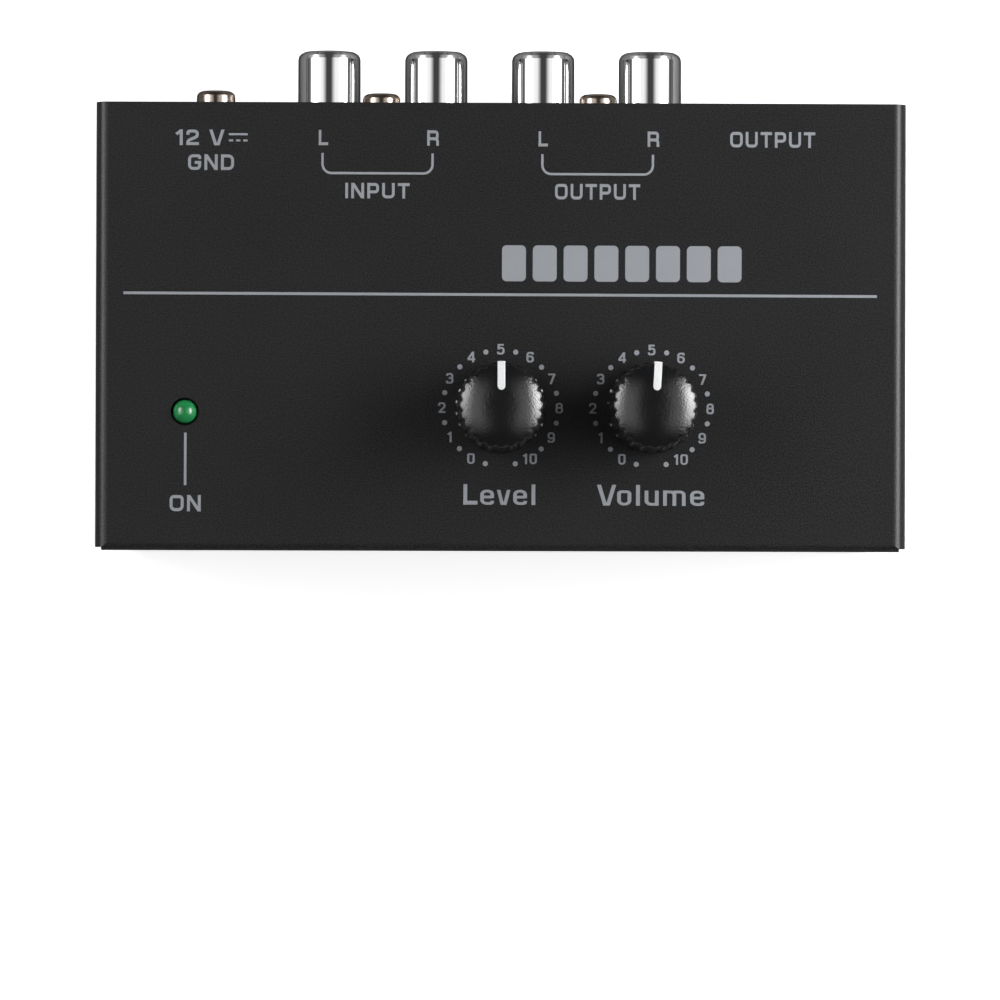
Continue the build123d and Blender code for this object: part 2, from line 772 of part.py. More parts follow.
def make_bushing(x):
    half = pot_width / 2
    low, high = pot_top, pot_top + bushing_plate
    plate = span(x - half, x + half, knob_y - pot_depth / 2, knob_y + pot_depth / 2, low, high)
    plate = chamfer(plate.edges().filter_by(Axis.Z), pot_corner)
    tube = rod_up(x, knob_y, high, high + bushing_height, bushing_radius)
    tube = chamfer(tube.edges().filter_by(GeomType.CIRCLE).sort_by(Axis.Z)[-1:], bushing_chamfer)
    return plate + tube - rod_up(x, knob_y, low - 1, high + bushing_height + 1, shaft_radius + shaft_fit)


def make_terminals(x):
    return tails(pot_terminal_places(x), terminal_width, terminal_sheet, board_top)


def make_shaft(x, turn):
    low = rotor_low()
    shaft = turned([
        (0, low), (rotor_radius, low), (rotor_radius, low + rotor_height),
        (shaft_radius, low + rotor_height), (shaft_radius, shaft_top - shaft_chamfer),
        (shaft_radius - shaft_chamfer, shaft_top), (0, shaft_top),
    ])
    slot = Pos(0, 0, shaft_top) * Box(shaft_slot, shaft_radius * 3, shaft_slot_depth * 2)
    return Pos(x, knob_y, 0) * Rot(0, 0, -turn) * (shaft - slot)


# ---------------------------------------------------------------- knobs
def knob_lean():
    # How far the knob's side leans in, in degrees.
    return degrees(atan((knob_foot_radius - knob_edge_radius) / (knob_height - knob_crown)))


def knob_skin(offset=0.0):
    # The knob's outside without flutes, grown by an offset: a taper under a ball crown.
    edge = knob_height - knob_crown
    tall = knob_height + 1
    top_radius = knob_foot_radius - (knob_foot_radius - knob_edge_radius) * tall / edge
    side = make_face(Polyline(
        (0, 0), (knob_foot_radius + offset, 0), (top_radius + offset, tall), (0, tall), close=True))
    crown_radius = (knob_edge_radius ** 2 + knob_crown ** 2) / (2 * knob_crown)
    outline = side & Pos(0, knob_height - crown_radius) * Circle(crown_radius + offset)
    return revolve(Plane.XZ * outline, Axis.Z)


def knob_solid():
    # Crowned, tapered and fluted, hollow below, with a hub for the shaft.
    solid = knob_skin()
    out = knob_foot_radius + flute_radius - flute_depth
    flute = Pos(out, 0, 0) * Rot(0, -knob_lean(), 0) * Cylinder(flute_radius, knob_height * 3)
    pitch = 360 / flute_count
    solid -= [Rot(0, 0, pitch * (index + 0.5)) * flute for index in range(flute_count)]

    hub = shaft_radius + knob_hub_wall
    rim = knob_foot_radius - flute_depth - knob_wall
    well = Cylinder(rim, knob_well_depth * 2) - Cylinder(hub, knob_well_depth * 2 + 1)
    bore = Pos(0, 0, knob_grip / 2) * Cylinder(shaft_radius + knob_bore_gap, knob_grip)
    return solid - well - bore


def pointer_solid():
    # A bar let into the crown, round at its inner end, that turns down over the side.
    reach = knob_foot_radius + 1
    half = pointer_width / 2
    straight = reach - pointer_start - half
    bar = Pos(0, pointer_start + half + straight / 2) * Rectangle(pointer_width, straight)
    bar += Pos(0, pointer_start + half) * Circle(half)
    depth = knob_crown + pointer_drop
    bar = Pos(0, 0, knob_height + 1 - depth) * extrude(bar, depth)
    return bar & (knob_skin(pointer_proud) - knob_skin(-pointer_depth))


def make_knob(x, turn):
    knob = knob_solid() - pointer_solid()
    return Pos(x, knob_y, top_z + knob_gap) * Rot(0, 0, -turn) * knob


def make_pointer(x, turn):
    return Pos(x, knob_y, top_z + knob_gap) * Rot(0, 0, -turn) * pointer_solid()


# ---------------------------------------------------------------- power light
def led_low():
    return top_z + led_proud - led_length


def make_led():
    straight = led_length - led_radius
    lens = turned([
        (0, 0), (led_flange_radius, 0), (led_flange_radius, led_flange),
        (led_radius, led_flange), (led_radius, straight), (0, straight),
    ])
    dome = Pos(0, 0, straight) * Sphere(led_radius)
    return Pos(led_x, led_y, led_low()) * (lens + dome)


def make_led_wires():
    return tails(led_wire_places(), led_wire, led_wire, led_low())


def make_spacer():
    return (rod_up(led_x, led_y, board_top, led_low(), spacer_radius)
            - rod_up(led_x, led_y, board_top - 1, led_low() + 1, spacer_bore))


# ---------------------------------------------------------------- board components
def bent_leg(reach, drop, sheet, width):
    # A flat leg that runs out along +X from the origin and then down.
    outline = make_face(Polyline(
        (0, 0), (reach, 0), (reach, -drop), (reach - sheet, -drop), (reach - sheet, -sheet),
        (0, -sheet), close=True))
    return extrude(Plane.XZ * outline, width / 2, both=True)


def standing_block(length, width, height):
    return Box(length, width, height, align=(Align.CENTER, Align.CENTER, Align.MIN))


def row_places(first_x, pitch, count, y):
    return [(first_x + pitch * index, y) for index in range(count)]


def on_board(piece, places):
    return [Pos(x, y, board_top) * piece for x, y in places]


def make_chips():
    body = standing_block(chip_length, chip_width, chip_height)
    body = Pos(0, 0, chip_lift) * chamfer(body.edges().filter_by(Axis.X), chip_chamfer)
    leg_z = chip_lift + chip_height / 2
    leg = bent_leg(chip_leg_reach, leg_z, chip_leg_sheet, chip_leg_width)
    leg = Pos(chip_width / 2 - chip_leg_width, 0, leg_z) * leg
    for index in range(chip_pins):
        along = Pos((index - (chip_pins - 1) / 2) * chip_pitch, 0, 0)
        body += [along * Rot(0, 0, turn) * leg for turn in (90, -90)]
    y = knob_y + chips_behind_knobs
    return on_board(body, [(input_x, y), (output_x - chip_pitch, y)])


def make_cans():
    can = Pos(0, 0, can_height / 2) * Cylinder(can_radius, can_height)
    can = chamfer(can.edges().filter_by(GeomType.CIRCLE).sort_by(Axis.Z)[-1:], can_chamfer)
    y = knob_y - cans_before_knobs
    places = row_places(input_x - row_start, can_pitch, 3, y)
    places += row_places(line_x - can_pitch / 2, can_pitch, 2, y)
    return on_board(can, places)


def make_films():
    body = standing_block(film_width, film_length, film_height)
    body = chamfer(body.edges().filter_by(Axis.Z), film_corner)
    return on_board(body, row_places(input_x - row_start, film_pitch, 4, knob_y + films_behind_knobs))


def make_resistors():
    # A turned body on a wire that is bent down to the board at both ends.
    lift = resistor_radius + resistor_lift
    piece = Pos(0, 0, lift) * Rot(0, 90, 0) * Cylinder(resistor_radius, resistor_length)
    leg = bent_leg(leg_reach, lift + wire_width / 2, wire_width, wire_width)
    leg = Pos(resistor_length / 2, 0, lift + wire_width / 2) * leg
    piece += leg + Rot(0, 0, 180) * leg
    y = knob_y - resistors_before_knobs
    return on_board(piece, row_places(input_x - row_start, resistor_pitch, 4, y))


def regulator_wires():
    return row_places(dc_x - regulator_pitch, regulator_pitch, 3, knob_y + regulator_behind_knobs)


def make_regulator():
    # A small three-legged regulator with a flat face.
    x, y = regulator_wires()[1]
    low = board_top + regulator_lift
    high = low + regulator_height
    body = rod_up(x, y, low, high, regulator_radius)
    reach = regulator_radius + 1
    body -= span(x - reach, x + reach, y + regulator_flat, y + reach, low, high)
    return body + tails(regulator_wires(), wire_width, wire_width, low)


# ---------------------------------------------------------------- all the nodes
def build():
    nodes = {
        "case_cover": make_cover(),
        "case_base": make_base(),
        "case_screws": make_case_screws(),
        "rubber_feet": make_feet(),
        "main_board": make_board(),
        "board_standoffs": make_standoffs(),
        "board_screws": make_board_screws(),
        "jack_screws": make_jack_screws(),
        "dc_jack_body": make_dc_body(),
        "dc_jack_pin": make_dc_pin(),
        "dc_jack_contacts": make_dc_contacts(),
        "ground_bracket": make_ground_bracket(),
        "ground_washer": make_ground_washer(),
        "ground_screw": make_ground_screw(),
        "line_jack_body": make_line_body(),
        "line_jack_ferrule": make_line_ferrule(),
        "line_jack_springs": make_line_springs(),
        "led_lens": make_led(),
        "led_wires": make_led_wires(),
        "led_spacer": make_spacer(),
        "amplifier_chips": make_chips(),
        "electrolytic_capacitors": make_cans(),
        "film_capacitors": make_films(),
        "resistors": make_resistors(),
        "voltage_regulator": make_regulator(),
    }
    for name, x in (("input", input_x), ("output", output_x)):
        nodes[f"{name}_jack_body"] = make_jack_body(x)
        nodes[f"{name}_jack_shells"] = make_shells(x)
        nodes[f"{name}_jack_insert_left"] = make_insert(x, -1)
        nodes[f"{name}_jack_insert_right"] = make_insert(x, 1)
        nodes[f"{name}_jack_contacts"] = make_contacts(x)
    for name, x, turn in (("level", level_x, level_turn), ("volume", volume_x, volume_turn)):
        nodes[f"{name}_pot_body"] = make_pot_body(x)
        nodes[f"{name}_pot_bushing"] = make_bushing(x)
        nodes[f"{name}_pot_terminals"] = make_terminals(x)
        nodes[f"{name}_shaft"] = make_shaft(x, turn)
        nodes[f"{name}_knob"] = make_knob(x, turn)
        nodes[f"{name}_pointer"] = make_pointer(x, turn)
    return nodes


def save(name, shape):
    if isinstance(shape, list):
        solids = [solid for piece in shape for solid in piece.solids()]
    else:
        solids = shape.solids()
    whole = solids[0] if len(solids) == 1 else Compound(children=solids)
    export_step(whole, os.path.join("parts", name + ".step"))


os.makedirs("parts", exist_ok=True)
for node_name, node_shape in build().items():
    save(node_name, node_shape)
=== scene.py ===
import json
import math
import bmesh
import bpy
from mathutils import Matrix, Vector


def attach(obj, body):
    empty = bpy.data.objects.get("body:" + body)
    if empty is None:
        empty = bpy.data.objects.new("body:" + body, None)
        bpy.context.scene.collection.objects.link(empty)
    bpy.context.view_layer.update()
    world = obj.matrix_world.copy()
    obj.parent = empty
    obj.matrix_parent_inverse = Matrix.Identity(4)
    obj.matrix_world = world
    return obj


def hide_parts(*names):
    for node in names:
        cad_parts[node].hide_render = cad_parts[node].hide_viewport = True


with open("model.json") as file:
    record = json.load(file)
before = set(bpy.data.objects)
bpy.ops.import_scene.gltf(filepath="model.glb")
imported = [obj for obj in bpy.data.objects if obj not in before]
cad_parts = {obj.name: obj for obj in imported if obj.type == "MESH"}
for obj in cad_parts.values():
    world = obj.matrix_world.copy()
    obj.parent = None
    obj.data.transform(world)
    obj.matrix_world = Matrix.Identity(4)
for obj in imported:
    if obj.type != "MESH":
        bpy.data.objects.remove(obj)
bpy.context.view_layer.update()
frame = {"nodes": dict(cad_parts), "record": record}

mm = 0.001
touching = 0.001 * mm  # points nearer than this are one
print("frame loaded", len(frame["nodes"]), "nodes")

# where things stand on the preamp, in millimetres
preamp = {"printY": -4.0, "top": 35.0, "levelX": 0.0, "volumeX": 19.8, "knobY": -14.7, "knobFoot": 35.6}


# hand tools for selecting, turning and placing
def clearAll():
    if bpy.context.mode != "OBJECT":
        bpy.ops.object.mode_set(mode="OBJECT")
    bpy.ops.object.select_all(action="DESELECT")


def takeUp(piece):
    clearAll()
    piece.select_set(True)
    bpy.context.view_layer.objects.active = piece


def copyPiece(source):
    copy = source.copy()
    copy.data = source.data.copy()
    bpy.context.collection.objects.link(copy)
    return copy


def openMesh(piece, kind="VERT"):
    takeUp(piece)
    bpy.ops.object.mode_set(mode="EDIT")
    bpy.ops.mesh.select_mode(type=kind)
    bpy.ops.mesh.select_all(action="DESELECT")


def pickPoints(piece, test):
    # the test is given each point's place in millimetres
    mesh = bmesh.from_edit_mesh(piece.data)
    for vert in mesh.verts:
        vert.select = test(vert.co.x / mm, vert.co.y / mm, vert.co.z / mm)
    mesh.select_flush_mode()
    bmesh.update_edit_mesh(piece.data)


def settle(piece, place=(0, 0, 0), tilt=(0, 0, 0)):
    # the place and turn go into the mesh, so the object itself stays at the origin
    takeUp(piece)
    piece.location = [step * mm for step in place]
    piece.rotation_euler = [math.radians(angle) for angle in tilt]
    bpy.ops.object.transform_apply(location=True, rotation=True, scale=True)
    return piece


def closeUp(piece, smooth):
    # no doubles, no holes, faces outward
    openMesh(piece)
    bpy.ops.mesh.select_all(action="SELECT")
    bpy.ops.mesh.remove_doubles(threshold=touching)
    bpy.ops.mesh.fill_holes(sides=0)
    bpy.ops.mesh.normals_make_consistent(inside=False)
    takeUp(piece)
    bpy.ops.object.shade_smooth_by_angle(angle=math.radians(smooth))


def turned(name, outline, sides):
    # a ring, pulled along the outline step by step; a radius of 0 closes it
    clearAll()
    radius, height = outline[0]
    bpy.ops.mesh.primitive_circle_add(vertices=sides, radius=radius * mm, location=(0, 0, height * mm))
    piece = settle(bpy.context.object, (0, 0, height))
    piece.name = name
    openMesh(piece)
    bpy.ops.mesh.select_all(action="SELECT")
    for nextRadius, nextHeight in outline[1:]:
        bpy.ops.mesh.extrude_edges_move(TRANSFORM_OT_translate={"value": (0, 0, (nextHeight - height) * mm)})
        if nextRadius > 0:
            grow = nextRadius / radius
            bpy.ops.transform.resize(value=(grow, grow, 1), center_override=(0, 0, nextHeight * mm))
        else:
            bpy.ops.mesh.merge(type="CENTER")
        radius, height = nextRadius, nextHeight
    clearAll()
    return piece


def roundCorners(points, radius, steps=5):
    # each inner corner of a line becomes a small arc, which takes less than half of either run
    nearHalf, straight = 0.49, 0.01
    line = [points[0]]
    for index in range(1, len(points) - 1):
        here = Vector(points[index])
        before = Vector(points[index - 1]) - here
        after = Vector(points[index + 1]) - here
        turn = math.pi - before.angle(after)
        if turn < straight:
            line.append(tuple(here))
            continue
        reach = min(radius * math.tan(turn / 2), before.length * nearHalf, after.length * nearHalf)
        bow = reach / math.tan(turn / 2)
        centre = here + (before.normalized() + after.normalized()).normalized() * math.hypot(reach, bow)
        start = here + before.normalized() * reach - centre
        side = 1 if before.cross(after) < 0 else -1
        for step in range(steps + 1):
            swing = Matrix.Rotation(side * turn * step / steps, 2)
            line.append(tuple(centre + swing @ start))
    return line + [points[-1]]


# small tools for a finish's nodes
def addGroup(name, numbers, results):
    group = bpy.data.node_groups.new(name, "ShaderNodeTree")
    for label, value in numbers.items():
        socket = group.interface.new_socket(label, in_out="INPUT", socket_type="NodeSocketFloat")
        socket.default_value = value
    for label in results:
        group.interface.new_socket(label, in_out="OUTPUT", socket_type="NodeSocketFloat")
    return group, group.nodes.new("NodeGroupInput"), group.nodes.new("NodeGroupOutput")


def addNode(tree, kind, **settings):
    node = tree.nodes.new(kind)
    for key, value in settings.items():
        setattr(node, key, value)
    return node


def addMath(tree, operation, first, second):
    node = addNode(tree, "ShaderNodeMath", operation=operation)
    for socket, value in zip(node.inputs, (first, second)):
        if isinstance(value, (int, float)):
            socket.default_value = value
        else:
            tree.links.new(value, socket)
    return node.outputs[0]


def addRange(tree, value, start, end, low, high, kind="LINEAR"):
    node = addNode(tree, "ShaderNodeMapRange", interpolation_type=kind)
    for label, number in (("From Min", start), ("From Max", end), ("To Min", low), ("To Max", high)):
        node.inputs[label].default_value = number
    tree.links.new(value, node.inputs["Value"])
    return node.outputs["Result"]


# for each noise its detail, and the noise levels that become 0 and 1
grainNoise = {"Grain": (2.0, 0.3, 0.7), "Cloud": (3.0, 0.15, 0.85)}


def makeGrain():
    # fine grain over broad clouds, both in the piece's own millimetres
    group, given, result = addGroup("grain", {"Grain mm": 0.2, "Cloud mm": 12.0, "Softness": 0.5},
                                    ("Grain", "Cloud", "Height"))
    place = group.nodes.new("ShaderNodeTexCoord").outputs["Object"]
    for label, (detail, dark, light) in grainNoise.items():
        size = addMath(group, "DIVIDE", 1 / mm, given.outputs[label + " mm"])
        noise = addNode(group, "ShaderNodeTexNoise")
        noise.inputs["Detail"].default_value = detail
        group.links.new(place, noise.inputs["Vector"])
        group.links.new(size, noise.inputs["Scale"])
        group.links.new(given.outputs["Softness"], noise.inputs["Roughness"])
        group.links.new(addRange(group, noise.outputs["Fac"], dark, light, 0, 1), result.inputs[label])
        if label == "Grain":
            group.links.new(noise.outputs["Fac"], result.inputs["Height"])
    return group


# the marks' two directions in radians, how much they tip, and the noise where a mark starts and is full
rubNoise = {"turns": (0.5, 2.2), "tip": 0.3, "starts": 0.62, "full": 0.75}


def makeRubs():
    # long thin rub marks from handling, one way and then the other
    group, given, result = addGroup("rubs", {"Length mm": 6.0, "Width mm": 0.08, "Amount": 0.3}, ("Mask",))
    place = group.nodes.new("ShaderNodeTexCoord").outputs["Object"]
    masks = []
    for angle in rubNoise["turns"]:
        aim = addNode(group, "ShaderNodeMapping")
        aim.inputs["Rotation"].default_value = (angle, rubNoise["tip"] * angle, angle)
        group.links.new(place, aim.inputs["Vector"])
        shape = addNode(group, "ShaderNodeCombineXYZ")
        along = addMath(group, "DIVIDE", 1 / mm, given.outputs["Length mm"])
        across = addMath(group, "DIVIDE", 1 / mm, given.outputs["Width mm"])
        for socket, value in zip(shape.inputs, (along, across, along)):
            group.links.new(value, socket)
        stretch = addNode(group, "ShaderNodeVectorMath", operation="MULTIPLY")
        group.links.new(aim.outputs[0], stretch.inputs[0])
        group.links.new(shape.outputs[0], stretch.inputs[1])
        noise = addNode(group, "ShaderNodeTexNoise")
        noise.inputs["Scale"].default_value = 1.0
        group.links.new(stretch.outputs[0], noise.inputs["Vector"])
        masks.append(addRange(group, noise.outputs["Fac"], rubNoise["starts"], rubNoise["full"], 0, 1))
    both = addMath(group, "MAXIMUM", *masks)
    group.links.new(addMath(group, "MULTIPLY", both, given.outputs["Amount"]), result.inputs["Mask"])
    return group


grainGroup, rubsGroup = makeGrain(), makeRubs()


def placeGroup(tree, group, **numbers):
    node = addNode(tree, "ShaderNodeGroup", node_tree=group)
    for label, value in numbers.items():
        node.inputs[label.replace("_", " ")].default_value = value
    return node


def mixColours(tree, amount, first, second):
    node = addNode(tree, "ShaderNodeMix", data_type="RGBA")
    tree.links.new(amount, node.inputs["Factor"])
    for socket, value in ((node.inputs["A"], first), (node.inputs["B"], second)):
        if isinstance(value, tuple):
            socket.default_value = (*value, 1)
        else:
            tree.links.new(value, socket)
    return node.outputs["Result"]


def makeFinish(name, look):
    # one recipe: two tones by grain and cloud, rub marks, a rough range and a fine relief
    finish = bpy.data.materials.new(name)
    finish.use_nodes = True
    tree = finish.node_tree
    shader = tree.nodes["Principled BSDF"]
    grain = placeGroup(tree, grainGroup, Grain_mm=look["grain"], Cloud_mm=look["cloud"])
    rubs = placeGroup(tree, rubsGroup, Amount=look["rubs"], Length_mm=look.get("rubLength", 6.0),
                      Width_mm=look.get("rubWidth", 0.08))
    tone = mixColours(tree, grain.outputs["Grain"], look["deep"], look["pale"])
    clouds = addMath(tree, "MULTIPLY", grain.outputs["Cloud"], look.get("clouding", 0.3))
    tone = mixColours(tree, clouds, tone, look.get("cloudTone", look["pale"]))
    tone = mixColours(tree, rubs.outputs["Mask"], tone, look.get("rubTone", look["pale"]))
    tree.links.new(tone, shader.inputs["Base Color"])
    worn = addMath(tree, "MAXIMUM", grain.outputs["Cloud"], rubs.outputs["Mask"])
    tree.links.new(addRange(tree, worn, 0, 1, *look["rough"]), shader.inputs["Roughness"])
    bump = addNode(tree, "ShaderNodeBump")
    bump.inputs["Strength"].default_value = look.get("relief", 0.3)
    bump.inputs["Distance"].default_value = look.get("reliefDepth", 0.02) * mm
    tree.links.new(grain.outputs["Height"], bump.inputs["Height"])
    tree.links.new(bump.outputs["Normal"], shader.inputs["Normal"])
    for label, value in look.get("plain", {}).items():
        shader.inputs[label].default_value = value
    return finish


# sizes in millimetres: the grain's and clouds' cells, the rub marks and the relief
looks = {
    "cover_powder_coat": {"deep": (0.005, 0.005, 0.0053), "pale": (0.031, 0.031, 0.0323), "grain": 0.2,
                          "cloud": 26, "clouding": 0.15, "rubs": 0.0, "rough": (0.27, 0.33), "relief": 0.8,
                          "reliefDepth": 0.03, "plain": {"Specular IOR Level": 0.3}},
    "base_powder_coat": {"deep": (0.005, 0.005, 0.0053), "pale": (0.029, 0.029, 0.0302), "grain": 0.2,
                         "cloud": 26, "clouding": 0.15, "rubs": 0.03, "rough": (0.29, 0.36), "relief": 0.8,
                         "reliefDepth": 0.03, "plain": {"Specular IOR Level": 0.3}},
    "black_screw": {"deep": (0.02, 0.02, 0.022), "pale": (0.04, 0.04, 0.043), "grain": 0.12, "cloud": 1.5,
                    "rubs": 0.5, "rubTone": (0.1, 0.1, 0.1), "rough": (0.3, 0.5), "plain": {"Metallic": 1.0}},
    "foot_rubber": {"deep": (0.016, 0.016, 0.016), "pale": (0.03, 0.03, 0.029), "grain": 0.35, "cloud": 4,
                    "cloudTone": (0.045, 0.044, 0.042), "rubs": 0.1, "rough": (0.7, 0.88), "relief": 0.6,
                    "reliefDepth": 0.04},
    "plated_steel": {"deep": (0.5, 0.5, 0.47), "pale": (0.66, 0.66, 0.64), "grain": 0.5, "cloud": 3,
                     "cloudTone": (0.62, 0.58, 0.46), "rubs": 0.4, "rough": (0.28, 0.45),
                     "plain": {"Metallic": 1.0}},
    # the chrome's near-black Specular Tint paints dark reflections into the shells' grazing edges, in place
    # of dark surroundings
    "jack_chrome": {"deep": (0.8, 0.8, 0.8), "pale": (0.8, 0.8, 0.8), "grain": 0.6, "cloud": 3,
                    "cloudTone": (0.7, 0.7, 0.69), "clouding": 0.5, "rubs": 0.15, "rubTone": (0.6, 0.6, 0.6),
                    "rough": (0.03, 0.09), "relief": 0.03, "reliefDepth": 0.003,
                    "plain": {"Metallic": 1.0, "Specular Tint": (0.02, 0.02, 0.02, 1)}},
    "jack_plastic": {"deep": (0.014, 0.014, 0.014), "pale": (0.022, 0.022, 0.023), "grain": 0.15, "cloud": 5,
                     "rubs": 0.1, "rough": (0.42, 0.55), "relief": 0.4, "reliefDepth": 0.01},
    "insert_white": {"deep": (0.74, 0.73, 0.69), "pale": (0.8, 0.79, 0.76), "grain": 0.3, "cloud": 2.5,
                     "rubs": 0.1, "rough": (0.25, 0.38), "relief": 0.15, "reliefDepth": 0.01},
    "insert_red": {"deep": (0.42, 0.012, 0.012), "pale": (0.55, 0.02, 0.018), "grain": 0.3, "cloud": 2.5,
                   "rubs": 0.1, "rough": (0.25, 0.38), "relief": 0.15, "reliefDepth": 0.01},
    "contact_tin": {"deep": (0.6, 0.56, 0.46), "pale": (0.74, 0.71, 0.62), "grain": 0.25, "cloud": 2,
                    "rubs": 0.4, "rubTone": (0.8, 0.78, 0.7), "rough": (0.24, 0.42),
                    "plain": {"Metallic": 1.0}},
    # the screw heads' warm brown is partly their own plating and partly painted shade, darkened to stand in
    # for the dark room they reflect; the near-black Specular Tint paints dark reflections at their edges
    "screw_nickel": {"deep": (0.2, 0.16, 0.135), "pale": (0.42, 0.35, 0.3), "grain": 0.7, "cloud": 1.3,
                     "cloudTone": (0.62, 0.52, 0.45), "clouding": 0.6, "rubs": 0.4, "rough": (0.12, 0.26),
                     "relief": 0.4, "reliefDepth": 0.012,
                     "plain": {"Metallic": 1.0, "Specular Tint": (0.05, 0.05, 0.05, 1)}},
    "pot_case": {"deep": (0.03, 0.09, 0.07), "pale": (0.05, 0.13, 0.1), "grain": 0.2, "cloud": 4,
                 "rubs": 0.15, "rough": (0.4, 0.55), "relief": 0.3, "reliefDepth": 0.01},
    "pot_metal": {"deep": (0.5, 0.5, 0.51), "pale": (0.64, 0.64, 0.65), "grain": 0.3, "cloud": 2.5,
                  "rubs": 0.4, "rough": (0.3, 0.48), "relief": 0.3, "reliefDepth": 0.01,
                  "plain": {"Metallic": 1.0}},
    "knob_plastic": {"deep": (0.0045, 0.0047, 0.0053), "pale": (0.0075, 0.0078, 0.0086), "grain": 0.26,
                     "cloud": 3, "clouding": 0.5, "rubs": 0.25, "rubLength": 3, "rubWidth": 0.05,
                     "rubTone": (0.02, 0.02, 0.02), "rough": (0.14, 0.19), "relief": 1.0,
                     "reliefDepth": 0.028, "plain": {"Specular IOR Level": 0.75}},
    "pointer_white": {"deep": (0.82, 0.83, 0.83), "pale": (0.9, 0.91, 0.91), "grain": 0.3, "cloud": 1.5,
                      "rubs": 0.2, "rubTone": (0.6, 0.6, 0.6), "rough": (0.35, 0.5), "relief": 0.2,
                      "reliefDepth": 0.01},
    "spacer_plastic": {"deep": (0.02, 0.02, 0.02), "pale": (0.032, 0.032, 0.032), "grain": 0.2, "cloud": 2,
                       "rubs": 0.1, "rough": (0.45, 0.6)},
    "chip_plastic": {"deep": (0.014, 0.014, 0.015), "pale": (0.024, 0.024, 0.026), "grain": 0.12, "cloud": 3,
                     "rubs": 0.1, "rough": (0.55, 0.7), "relief": 0.5, "reliefDepth": 0.012},
    "film_plastic": {"deep": (0.34, 0.025, 0.015), "pale": (0.47, 0.035, 0.022), "grain": 0.8, "cloud": 3,
                     "rubs": 0.1, "rough": (0.2, 0.35), "relief": 0.2, "reliefDepth": 0.02},
    "can_sleeve": {"deep": (0.012, 0.016, 0.05), "pale": (0.018, 0.024, 0.07), "grain": 0.5, "cloud": 4,
                   "rubs": 0.2, "rough": (0.22, 0.36), "relief": 0.1, "reliefDepth": 0.01,
                   "plain": {"Coat Weight": 0.3}},
    "resistor_enamel": {"deep": (0.08, 0.2, 0.34), "pale": (0.12, 0.28, 0.45), "grain": 0.5, "cloud": 3,
                        "rubs": 0.1, "rough": (0.3, 0.45)},
    "led_green": {"deep": (0.008, 0.17, 0.045), "pale": (0.02, 0.34, 0.1), "grain": 2.2, "cloud": 1.6,
                  "clouding": 0.4, "rubs": 0.05, "rough": (0.2, 0.28), "relief": 0.05, "reliefDepth": 0.01,
                  "plain": {"Coat Weight": 0.6, "Coat Roughness": 0.12}},
    "panel_print": {"deep": (0.285, 0.3, 0.325), "pale": (0.325, 0.34, 0.367), "grain": 0.12, "cloud": 2.5,
                    "clouding": 0.4, "rubs": 0.15, "rubTone": (0.22, 0.23, 0.25), "rough": (0.5, 0.62),
                    "relief": 0.3, "reliefDepth": 0.008},
}
finishes = {name: makeFinish(name, look) for name, look in looks.items()}
print("plain finishes", len(finishes))

# cells of a few pitches hold rings, and a ring is track where it is past the gap
boardLook = {
    "base": {"deep": (0.012, 0.1, 0.045), "pale": (0.014, 0.115, 0.05), "grain": 0.4, "cloud": 8, "rubs": 0.1,
             "rough": (0.25, 0.4), "relief": 0.2, "reliefDepth": 0.01},
    "track": (0.02, 0.17, 0.075), "pitch": 2.54, "cell": 3, "uneven": 0.8, "rings": 6.0, "gap": 0.72,
}


def makeBoard():
    # green solder mask over straight tracks
    finish = makeFinish("board_fibre", boardLook["base"])
    tree = finish.node_tree
    shader = tree.nodes["Principled BSDF"]
    ground = shader.inputs["Base Color"].links[0].from_socket
    cells = addNode(tree, "ShaderNodeTexVoronoi", distance="MANHATTAN", feature="F1")
    cells.inputs["Scale"].default_value = 1 / (boardLook["pitch"] * boardLook["cell"] * mm)
    cells.inputs["Randomness"].default_value = boardLook["uneven"]
    tree.links.new(tree.nodes.new("ShaderNodeTexCoord").outputs["Object"], cells.inputs["Vector"])
    rings = addMath(tree, "MULTIPLY", cells.outputs["Distance"], boardLook["rings"])
    track = addMath(tree, "GREATER_THAN", addMath(tree, "FRACT", rings, 0.0), boardLook["gap"])
    tree.links.new(mixColours(tree, track, ground, boardLook["track"]), shader.inputs["Base Color"])
    return finish


finishes["board_fibre"] = makeBoard()

for part in frame["record"]["subparts"]:
    node = frame["nodes"][part["node"]]
    node.data.materials.clear()
    node.data.materials.append(finishes[part["material_slot"]])
print("finishes on every node")


def fitOut(piece, body, finish, *nodes):
    piece.data.materials.clear()
    piece.data.materials.append(finishes[finish])
    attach(piece, body)
    if nodes:
        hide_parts(*nodes)


# the knobs, in millimetres from the foot; the rings are heights and radii where the outline has a point,
# flutes are cut in points farther out than fluteFrom, which lie within fluteNear of a flute's phase
knob = {
    "height": 13.5, "crown": 1.3, "crownPower": 2.7, "foot": 5.96, "edge": 5.46,
    "footRound": 0.15, "footEase": 0.04, "edgeRound": 0.14, "edgeEase": 0.03,
    "flutes": 24, "perFlute": 12, "fluteRound": 0.62, "fluteDepth": 0.16, "fluteFrom": 5.2, "fluteNear": 0.02,
    "skirt": 0.85, "ledge": 0.09,
    "sideRings": (2.0, 4.0, 6.0, 8.0, 10.0), "crownRings": (5.05, 4.7, 4.3, 3.8, 3.2, 2.5, 1.7, 0.8),
    "wall": 4.74, "well": 7.3, "hub": 3.9, "bore": 3.02, "boreEase": 0.2, "grip": 10.4, "gripTip": 0.4,
}
# each pointer is bent in narrow rings, and its edges sharper than this angle are rounded
pointer = {"ring": 0.1, "round": 0.09, "roundSteps": 3, "sharp": 50, "narrow": 0.9, "out": 0.18}
smoothing = 35  # degrees, for knobs and pointers


def crownHeight(radius):
    return knob["height"] - knob["crown"] * (radius / knob["edge"]) ** knob["crownPower"]


